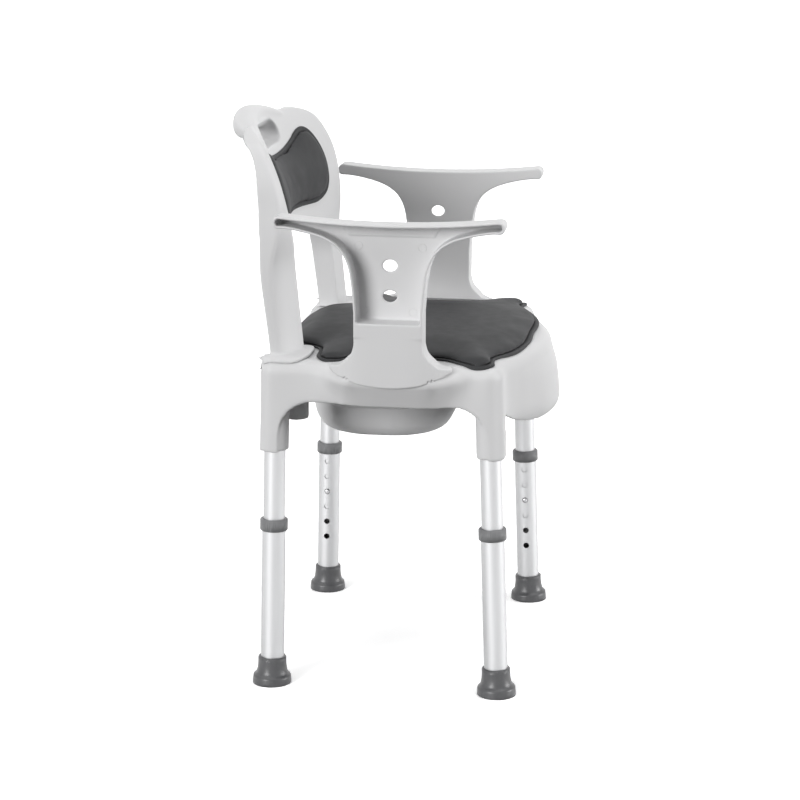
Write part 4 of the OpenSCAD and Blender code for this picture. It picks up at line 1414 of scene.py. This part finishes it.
@dataclass
class Armrest:
    """A moulded armrest: top, web with two holes, apron and tenons."""

    seat: Seat = field(default_factory=Seat)
    in_x: float = 240
    width: float = 37
    top_z: float = 682
    rise: float = 8.5
    half_l: float = 160
    tip_r: float = 8.5
    neck: float = 48
    foot: float = 86
    apron_z: float = 454
    ledge_z: float = 545
    wall: float = 3.5
    hole_d: float = 20
    hole_z: float = 578
    hole_pitch: float = 43
    hole_flat: float = 0.82
    rib_t: float = 1.6
    rib_outline: Sequence = ((-60, -19), (60, -19), (70, -2), (-70, -2))
    seat_gap: float = 0.8
    voxel: float = 1.4
    ring_mark_places: Sequence = ((-43, 647), (46, 648), (-30, 556.5), (36, 558))
    ring_mark_section: Sequence = ((5.3, -0.8), (5.3, 0.45), (6.0, 0.45), (6.0, -0.8))

    def top_outline(self, w: float) -> Loop:
        """Half of the top's outline and the neck below it.

        Args:
            w: How far it is moved inwards.

        Returns:
            Distances from the middle and heights.
        """
        rows = [
            [(self.half_l - self.tip_r) * k / 12, self.top_z + self.rise * (k / 12) ** 2 - w]
            for k in range(13)
        ]
        for a in np.radians(np.arange(72, -73, -9)):
            up = math.copysign(abs(math.sin(a)) ** 0.8, math.sin(a))
            r = self.tip_r - w
            tip_z = self.top_z + self.rise - self.tip_r
            rows.append([self.half_l - self.tip_r + r * math.cos(a) ** 0.8, tip_z + r * up])
        n, t = self.neck, self.top_z
        line = smooth_line(
            [
                [self.half_l - 16, t - 8.2 + w], [n + 80, t - 10.5 + w],
                [n + 60, t - 15 + w * 0.95], [n + 42 - w * 0.3, t - 21 + w],
                [n + 27 - w * 0.5, t - 29.5 + w * 0.8], [n + 15 - w * 0.8, t - 42 + w * 0.5],
                [n + 7 - w, t - 61 + w * 0.2], [n + 2.5 - w, t - 90], [n - w, t - 122],
            ],
            5,
        )
        return np.vstack([rows, line])

    def foot_outline(self) -> Loop:
        """Half of the foot's outline, below the ledge.

        Returns:
            Distances from the middle and heights.
        """
        z, n, f = self.seat.top_z, self.neck, self.foot
        upper = smooth_line(
            [[n, z + 34], [n + 4, z + 21], [n + 14, z + 10.5], [f - 16, z + 4], [f - 3, z + 1.5]], 5
        )
        lower = smooth_line(
            [
                [f, z - 5], [f * 0.8, self.apron_z + 13.5], [f * 0.55, self.apron_z + 6],
                [f * 0.28, self.apron_z + 1.5], [0, self.apron_z],
            ],
            5,
        )
        return np.vstack([[[n, self.ledge_z]], upper, [[f, z - 1]], lower])

    def profile(self, half: Loop, low: float, high: float) -> Piece:
        """A half outline mirrored front to rear and drawn out across the armrest."""
        outline = np.vstack([half, half[::-1] * [-1, 1]]) + [self.seat.arm_mid_y, 0]
        return Bench.prism("arm_profile", outline, "x", low, high)

    def plan(self, w: float) -> Piece:
        """The foot seen from above: straight inside, curved like the seat outside.

        Args:
            w: How far it is moved inwards.

        Returns:
            The form, drawn out upwards.
        """
        outer = self.width - w
        dy = self.foot * (1 - np.arange(0, 25) / 12)
        curve = np.column_stack([outer - (outer - 14) * (np.abs(dy) / self.foot) ** 5, dy])
        loop = np.vstack([[[w, -self.foot], [w, self.foot]], curve])
        loop = loop + [self.in_x, self.seat.arm_mid_y]
        return Bench.prism("arm_plan", loop[::-1], "z", 300, 900)

    def ring_marks(self) -> list[Piece]:
        """The four fine rings that the mould's ejector pins leave on the outer face.

        Returns:
            The rings.
        """
        marks = []
        for dy, z in self.ring_mark_places:
            turn = full_turn(40)
            rings = []
            for r, out in self.ring_mark_section:
                y = self.seat.arm_mid_y + dy + r * np.cos(turn)
                x = np.full(40, self.in_x + self.wall + out)
                rings.append(np.column_stack([x, y, z + r * np.sin(turn)]))
            marks.append(Bench.skin("ring_mark", rings, capped=False))
        return marks

    def build(self, chair: Chair) -> None:
        """Builds both armrests, the right one as a mirrored copy.

        Args:
            chair: The chair that they join.
        """
        left = self.solid()
        Bench.mould(left, self.voxel, 1)
        Bench.join([left, *self.ring_marks()])
        Bench.shade_smooth(left)
        bpy.ops.object.duplicate()
        right = bpy.context.object
        right.name = "arm_right"
        Bench.set_points(right, Bench.points(right) * [-1, 1, 1])
        Bench.edit(right, lambda: bpy.ops.mesh.flip_normals())
        chair.dress(left, "white_plastic", "armrest_left")
        chair.dress(right, "white_plastic", "armrest_right")

    def apron_hollow(self) -> Piece:
        """The hollow inside the foot, open below.

        Returns:
            The hollow as a solid.
        """
        w, n, z = self.wall, self.neck, self.seat.top_z
        under = np.array(
            [
                [n - w, self.ledge_z - w], [n - w, z + 27], [n + 12 - w, z + 5],
                [self.foot - 12, z - 3], [self.foot - 12, 393],
            ]
        )
        hollow = self.profile(under, self.in_x - 1, self.in_x + self.width + 1)
        Bench.cut(hollow, self.plan(w), Cut.KEEP)
        return hollow

    def solid(self) -> Piece:
        """The left armrest as a sharp-edged solid.

        Returns:
            The solid.
        """
        low, high = self.in_x, self.in_x + self.width
        outline = np.vstack([self.top_outline(0), [[self.neck, self.ledge_z - 20]]])
        arm = self.profile(outline, low, high)
        arm.name = "arm_left"
        foot = self.profile(self.foot_outline(), low, high)
        Bench.cut(foot, self.plan(0), Cut.KEEP)
        Bench.cut(arm, foot, Cut.ADD)
        w = self.wall
        inside = np.vstack([self.top_outline(w), [[self.neck - w, self.ledge_z]]])
        Bench.cut(arm, self.profile(inside, low + w, low + w + 60))
        Bench.cut(arm, self.apron_hollow())
        rib = np.array(self.rib_outline) + [self.seat.arm_mid_y, self.top_z]
        Bench.cut(arm, Bench.prism("rib", rib, "x", low + 1, low + w + self.rib_t), Cut.ADD)
        turn, half = full_turn(48), self.hole_d / 2
        oval = np.column_stack([half * np.cos(turn), self.hole_flat * half * np.sin(turn)])
        for k in (0, 1):
            place = oval + [self.seat.arm_mid_y + 2, self.hole_z + k * self.hole_pitch]
            Bench.cut(arm, Bench.prism("hole", place, "x", low - 5, low + 15))
        Bench.cut(arm, self.seat.form("seat_gap", self.seat_gap, 430))
        for dy in (-self.seat.tenon_y, self.seat.tenon_y):
            tenon = self.seat.tenon_slot(Side.LEFT, dy, 0, self.seat.tenon_z, self.ledge_z - 1)
            Bench.cut(arm, tenon, Cut.ADD)
        return arm


@dataclass
class Pan:
    """The pan under the seat, with its step and its flat rim."""

    half_w: float = 116
    half_l: float = 112
    y: float = 31
    low_z: float = 337
    step_z: float = 386
    rim_z: float = 429
    rim_t: float = 3
    rim_w: float = 14
    wall: float = 2.5
    corner_r: float = 64
    low_corner_r: float = 98
    voxel: float = 1.7
    low_edge: Sequence = ((46, 0), (31, 1.8), (20.5, 7), (12.5, 17), (8, 30), (6.4, 42), (6, 49))

    @staticmethod
    def round_box(half_x: float, half_y: float, r: float, y: float) -> Loop:
        """A rectangle with round corners, seen from above.

        Args:
            half_x: Half its width.
            half_y: Half its length.
            r: Radius of its corners.
            y: Its middle, front to rear.

        Returns:
            The outline.
        """
        loop = []
        for sx, sy, start in ((1, -1, 270), (1, 1, 0), (-1, 1, 90), (-1, -1, 180)):
            for a in np.radians(np.arange(start, start + 91, 6)):
                loop.append(
                    [sx * (half_x - r) + r * math.cos(a), y + sy * (half_y - r) + r * math.sin(a)]
                )
        return np.array(loop)

    def ring(self, inset: float, z: float) -> Loop:
        """The pan's outline, which is rounder low down.

        Args:
            inset: How far it is moved inwards.
            z: The height.

        Returns:
            The outline at that height.
        """
        down = np.clip((self.rim_z - z) / (self.rim_z - self.step_z), 0, 1)
        corner = self.corner_r + (self.low_corner_r - self.corner_r) * down
        flat = self.round_box(self.half_w - inset, self.half_l - inset, corner - inset, self.y)
        return at_height(flat, z)

    def body(self, w: float, name: str) -> Piece:
        """The bowl's form.

        Args:
            w: How far its wall is moved inwards.
            name: The piece's name.

        Returns:
            The closed form.
        """
        rings = [self.ring(i + w, self.low_z + h + w) for i, h in smooth_line(self.low_edge, 4)]
        top = self.rim_z if not w else self.rim_z + 20
        rings += [self.ring(2 + w, self.step_z + 1.5 + w), self.ring(1.5 + w, self.step_z + 3 + w)]
        rings += [self.ring(w, self.rim_z), self.ring(w, top + 0.5)]
        return Bench.skin(name, rings)

    def build(self, chair: Chair) -> None:
        """Builds the pan.

        Args:
            chair: The chair that it joins.
        """
        pan = self.body(0, "commode_pan")
        rim = self.round_box(self.half_w + self.rim_w, self.half_l + 4, 40, self.y)
        plate = Bench.prism("rim", rim, "z", self.rim_z, self.rim_z + self.rim_t)
        Bench.cut(pan, plate, Cut.ADD)
        Bench.cut(pan, self.body(self.wall, "bowl"))
        Bench.mould(pan, self.voxel, 1)
        chair.dress(pan, "white_plastic", "pan")


@dataclass(frozen=True)
class PadForm:
    """A pad's thickness, rise as it is puffed up, flat heart, middle and half outline."""

    thick: float
    rise: float
    heart: tuple[float, float]
    middle: float
    half: Table


@dataclass
class Pads:
    """The soft seat pad and back pad, each with a thin lip round its edge."""

    back: Backrest = field(default_factory=Backrest)
    lip_t: float = 3
    gap: float = 0.3
    fill: float = 0.8
    pressure: float = 2.0
    voxel_m: float = 0.0042
    frames: int = 20
    smooth_passes: int = 22
    shoulder_w: float = 15
    side_rise: Table = ((3.6, 0.34), (5.6, 0.54), (9.6, 0.72))
    top_rise: Table = ((0, 0.82), (0.25, 0.88), (0.6, 0.92))
    seat_form: PadForm = PadForm(
        thick=15, rise=5, heart=(0.45, 0.45), middle=0,
        half=(
            (0, -188), (50, -189.5), (92, -186), (128, -178.5), (156, -167.5), (174, -158),
            (190, -152.5), (206, -153.5), (222, -155), (231, -149), (234, -138), (233, -122),
            (227, -108), (217, -97), (206, -84), (202, -66), (201, -40), (201, 0), (202, 34),
            (210, 48), (226, 57), (233, 71), (228, 89), (207, 99.5), (177, 102), (154, 108),
            (142, 126), (126, 146), (84, 162), (0, 167),
        ),
    )
    back_form: PadForm = PadForm(
        thick=13, rise=4, heart=(0.45, 0.35), middle=704,
        half=(
            (0, 654.5), (46, 653), (92, 650.5), (118, 650.5), (141, 656), (157, 665), (168, 680),
            (173, 698), (173, 715), (168, 732), (159, 747), (148, 757.5), (134, 762.5), (118, 761),
            (102, 756.5), (86, 750.5), (62, 744.5), (34, 740.5), (0, 739),
        ),
    )

    def on_back(self, loop: Loop, height: float) -> Loop:
        """A loop laid on the backrest's face, standing off it."""
        y = self.back.face_y(loop[:, 0], loop[:, 1]) - height
        return np.column_stack([loop[:, 0], y, loop[:, 1]])

    def on_seat(self, loop: Loop, height: float) -> Loop:
        """Lays a loop on the seat, following its rounded edge.

        Args:
            loop: The loop.
            height: How far it stands above the seat.

        Returns:
            The laid loop.
        """
        seat = self.back.seat
        edge = seat.outline(seat.top_z - seat.edge_r, 12)
        away = np.linalg.norm(loop[:, None, :] - edge[None, :, :], axis=2).min(axis=1)
        past = np.clip(seat.edge_r - away, 0, seat.edge_r)
        drop = seat.edge_r - np.sqrt(seat.edge_r**2 - past**2)
        return at_height(loop, seat.top_z + height - drop)

    def cushion(
        self, name: str, loop: Loop, lay: Callable[[Loop, float], Loop], thick: float, heart: Loop
    ) -> Piece:
        """The stuffed part inside the lip, a little slack before it is puffed up.

        Args:
            name: The piece's name.
            loop: The pad's outline.
            lay: Lays a loop at a height over what carries the pad.
            thick: The thickness at its middle.
            heart: The outline's shrunken middle.

        Returns:
            The cushion.
        """
        shoulder = inset_loop(loop, self.shoulder_w)
        core = heart + (heart.mean(0) - heart) * 0.8
        rows = [lay(ring, self.gap) for ring in (core, heart, shoulder, inset_loop(loop, 3.2))]
        rows.append(lay(inset_loop(loop, 2.8), self.gap + self.lip_t * 0.7))
        rows += [lay(inset_loop(loop, inset), thick * share) for inset, share in self.side_rise]
        rows += [
            lay(shoulder + (heart - shoulder) * way, thick * share) for way, share in self.top_rise
        ]
        rows += [lay(heart, thick * 0.94), lay(core, thick * 0.94)]
        return Bench.skin(name, rows)

    def puff(self, piece: Piece, held: Callable[[Loop], Loop], cap: float) -> None:
        """Blows a cushion up as cloth, as far as a cap allows.

        Args:
            piece: The cushion.
            held: Tells which points, in millimetres, can't move.
            cap: How far a point may move, in millimetres.
        """
        Bench.modify(piece, "REMESH", mode="VOXEL", voxel_size=self.voxel_m, use_smooth_shade=True)
        Bench.modify(piece, "SMOOTH", factor=0.5, iterations=3)
        start = Bench.points(piece)
        group = piece.vertex_groups.new(name="held")
        group.add(np.flatnonzero(held(start)).tolist(), 1.0, "REPLACE")
        cloth = piece.modifiers.new("stuffing", "CLOTH")
        cloth.settings.use_pressure = True
        cloth.settings.uniform_pressure_force = self.pressure
        cloth.settings.vertex_group_mass = "held"
        cloth.settings.effector_weights.gravity = 0
        cloth.point_cache.frame_end = self.frames
        for frame in range(1, self.frames + 1):
            bpy.context.scene.frame_set(frame)
        Bench.only(piece)
        bpy.ops.object.modifier_apply(modifier=cloth.name)
        bpy.context.scene.frame_set(1)
        moved = Bench.points(piece) - start
        length = np.linalg.norm(moved, axis=1, keepdims=True)
        Bench.set_points(piece, start + moved * np.minimum(1, cap / np.maximum(length, 1e-6)))
        piece.vertex_groups.clear()
        Bench.modify(piece, "SMOOTH", factor=0.5, iterations=self.smooth_passes)
        Bench.modify(piece, "SUBSURF", levels=1, render_levels=1)
        Bench.shade_smooth(piece)

    def lip(self, name: str, loop: Loop, lay: Callable[[Loop, float], Loop]) -> Piece:
        """The thin lip round a pad, with a fine groove inside its edge.

        Args:
            name: The piece's name.
            loop: The pad's outline.
            lay: Lays a loop at a height over what carries the pad.

        Returns:
            The lip, as a closed ring.
        """
        t = self.lip_t
        section = [
            (9.0, 0.0), (1.4, 0.0), (0.4, 0.3), (0.0, 1.0), (0.1, t - 0.9), (0.6, t - 0.25),
            (1.3, t), (2.1, t), (2.9, t - 0.2), (3.6, t - 0.5), (9.0, t - 0.6),
        ]
        rings = [lay(inset_loop(loop, inset), self.gap + height) for inset, height in section]
        piece = Bench.skin(name, rings, capped=False)
        Bench.shade_smooth(piece)
        return piece

    def build_pad(
        self, chair: Chair, name: str, form: PadForm, lay: Callable[[Loop, float], Loop],
        held: Callable[[Loop], Loop],
    ) -> None:
        """Builds one pad: cushion, puff and lip.

        Args:
            chair: The chair that it joins.
            name: Seat or back.
            form: Its form.
            lay: Lays a loop at a height over what carries the pad.
            held: Tells which points can't move when it is puffed up.
        """
        loop = smooth_loop(both_sides(form.half), 6)
        heart = (loop - [0, form.middle]) * form.heart + [0, form.middle]
        piece = self.cushion(f"{name}_cushion", loop, lay, form.thick, heart)
        self.puff(piece, held, form.rise)
        Bench.join([piece, self.lip(f"{name}_pad_lip", loop, lay)])
        chair.dress(piece, "pad_grey", f"{name}_pad")

    def build(self, chair: Chair) -> None:
        """Builds both pads.

        Args:
            chair: The chair that they join.
        """
        low = self.lip_t * 0.8
        top = self.back.seat.top_z + low

        def near_seat(points: Loop) -> Loop:
            """Points that lie within the lip's thickness of the seat."""
            return points[:, 2] < top

        def near_back(points: Loop) -> Loop:
            """Points that lie within the lip's thickness of the backrest's face."""
            return self.back.behind_face(points) > -low

        self.build_pad(chair, "seat", self.seat_form, self.on_seat, near_seat)
        self.build_pad(chair, "back", self.back_form, self.on_back, near_back)


@dataclass
class Studio:
    """The floor, the light and the camera."""

    camera_at: tuple[float, float, float] = (-3598.7, -537.5, 1243.9)
    view: tuple[float, float, float] = (0.9614, 0.1467, -0.2328)
    roll: float = -0.0029
    focal_px: float = 2502.75
    image_px: float = 800
    sensor_mm: float = 36
    floor_m: float = 60
    lamps_aim: tuple[float, float, float] = (0, 0, 0.45)
    suns: Sequence = (
        ("key_sun", (-3.0, 1.7, 1.35), 2.3, 28),
        ("top_sun", (-0.3, 0.0, 6.0), 1.3, 70),
        ("front_sun", (0.4, -4.0, 1.1), 2.4, 30),
        ("far_sun", (4.0, 0.8, 2.0), 0.5, 60),
    )
    floor_seen: float = 1.9
    floor_lit: float = 0.12
    surround_seen: float = 1.0
    surround_lit: float = 0.09

    def backdrop_colour(self, tree: bpy.types.NodeTree, seen: float, lit: float) -> Socket:
        """A brightness that the camera sees, and another that lights the object.

        Args:
            tree: The node tree.
            seen: The brightness for the camera and for mirror and glass rays.
            lit: The brightness for every other ray.

        Returns:
            The socket that gives it.
        """
        path = tree.nodes.new("ShaderNodeLightPath")
        total = path.outputs["Is Camera Ray"]
        for name in ("Is Glossy Ray", "Is Transmission Ray"):
            add = tree.nodes.new("ShaderNodeMath")
            add.operation = "MAXIMUM"
            tree.links.new(total, add.inputs[0])
            tree.links.new(path.outputs[name], add.inputs[1])
            total = add.outputs["Value"]
        level = tree.nodes.new("ShaderNodeMapRange")
        level.inputs["To Min"].default_value = lit
        level.inputs["To Max"].default_value = seen
        tree.links.new(total, level.inputs["Value"])
        return level.outputs["Result"]

    def build_floor(self) -> None:
        """Lays a wide pale floor that keeps the chair's shadow."""
        Bench.clear()
        bpy.ops.mesh.primitive_grid_add(x_subdivisions=8, y_subdivisions=8, size=self.floor_m)
        floor = bpy.context.object
        floor.name = "floor"
        finish = bpy.data.materials.new("floor_white")
        finish.use_nodes = True
        tree = finish.node_tree
        tree.nodes.clear()
        out = tree.nodes.new("ShaderNodeOutputMaterial")
        diffuse = tree.nodes.new("ShaderNodeBsdfDiffuse")
        colour = self.backdrop_colour(tree, self.floor_seen, self.floor_lit)
        tree.links.new(colour, diffuse.inputs["Color"])
        tree.links.new(diffuse.outputs["BSDF"], out.inputs["Surface"])
        floor.data.materials.append(finish)

    def build_world(self) -> None:
        """Sets a white surround that lights softly."""
        world = bpy.data.worlds.new("studio")
        bpy.context.scene.world = world
        world.use_nodes = True
        tree = world.node_tree
        background = tree.nodes["Background"]
        background.inputs["Color"].default_value = (1, 1, 1, 1)
        strength = self.backdrop_colour(tree, self.surround_seen, self.surround_lit)
        tree.links.new(strength, background.inputs["Strength"])

    def add_sun(self, name: str, at: Sequence, strength: float, angle: float) -> None:
        """Adds a soft, far lamp that looks at the chair.

        Args:
            name: Its name.
            at: Where it stands, in metres, which gives its direction.
            strength: How strong it is.
            angle: How wide it is, in degrees.
        """
        data = bpy.data.lights.new(name, "SUN")
        data.energy = strength
        data.angle = math.radians(angle)
        lamp = bpy.data.objects.new(name, data)
        bpy.context.scene.collection.objects.link(lamp)
        lamp.location = at
        aim = Vector(self.lamps_aim) - Vector(at)
        lamp.rotation_euler = aim.to_track_quat("-Z", "Y").to_euler()

    def build_camera(self) -> None:
        """Places the camera as the photograph was taken."""
        ahead = Vector(self.view).normalized()
        right = ahead.cross(Vector((0, 0, 1))).normalized()
        up = right.cross(ahead)
        turn = Matrix.Rotation(self.roll, 3, ahead)
        right, up = turn @ right, turn @ up
        data = bpy.data.cameras.new("photo_camera")
        data.sensor_width = self.sensor_mm
        data.lens = self.sensor_mm * self.focal_px / self.image_px
        data.clip_end = 100
        camera = bpy.data.objects.new("photo_camera", data)
        bpy.context.scene.collection.objects.link(camera)
        place = (Vector(self.camera_at) - Vector(CHAIR_MIDDLE)) * MM
        camera.matrix_world = Matrix.Translation(place) @ Matrix(
            (right, up, -ahead)
        ).transposed().to_4x4()
        bpy.context.scene.camera = camera

    def build(self) -> None:
        """Builds the floor, the surround, the lamps and the camera."""
        self.build_floor()
        self.build_world()
        for sun in self.suns:
            self.add_sun(*sun)
        self.build_camera()
        bpy.context.scene.view_settings.view_transform = "Standard"


def main() -> None:
    """Builds the chair and its studio."""
    logging.basicConfig(level=logging.INFO, format="%(message)s")
    chair = Chair()
    chair.load()
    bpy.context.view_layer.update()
    Studio().build()
    legs = Legs()
    seat = Seat(legs=legs)
    back = Backrest(seat=seat)
    legs.build(chair)
    seat.build(chair)
    back.build(chair)
    Armrest(seat=seat).build(chair)
    Pan().build(chair)
    Pads(back=back).build(chair)
    Bench.clear()


if __name__ == "__main__":
    main()
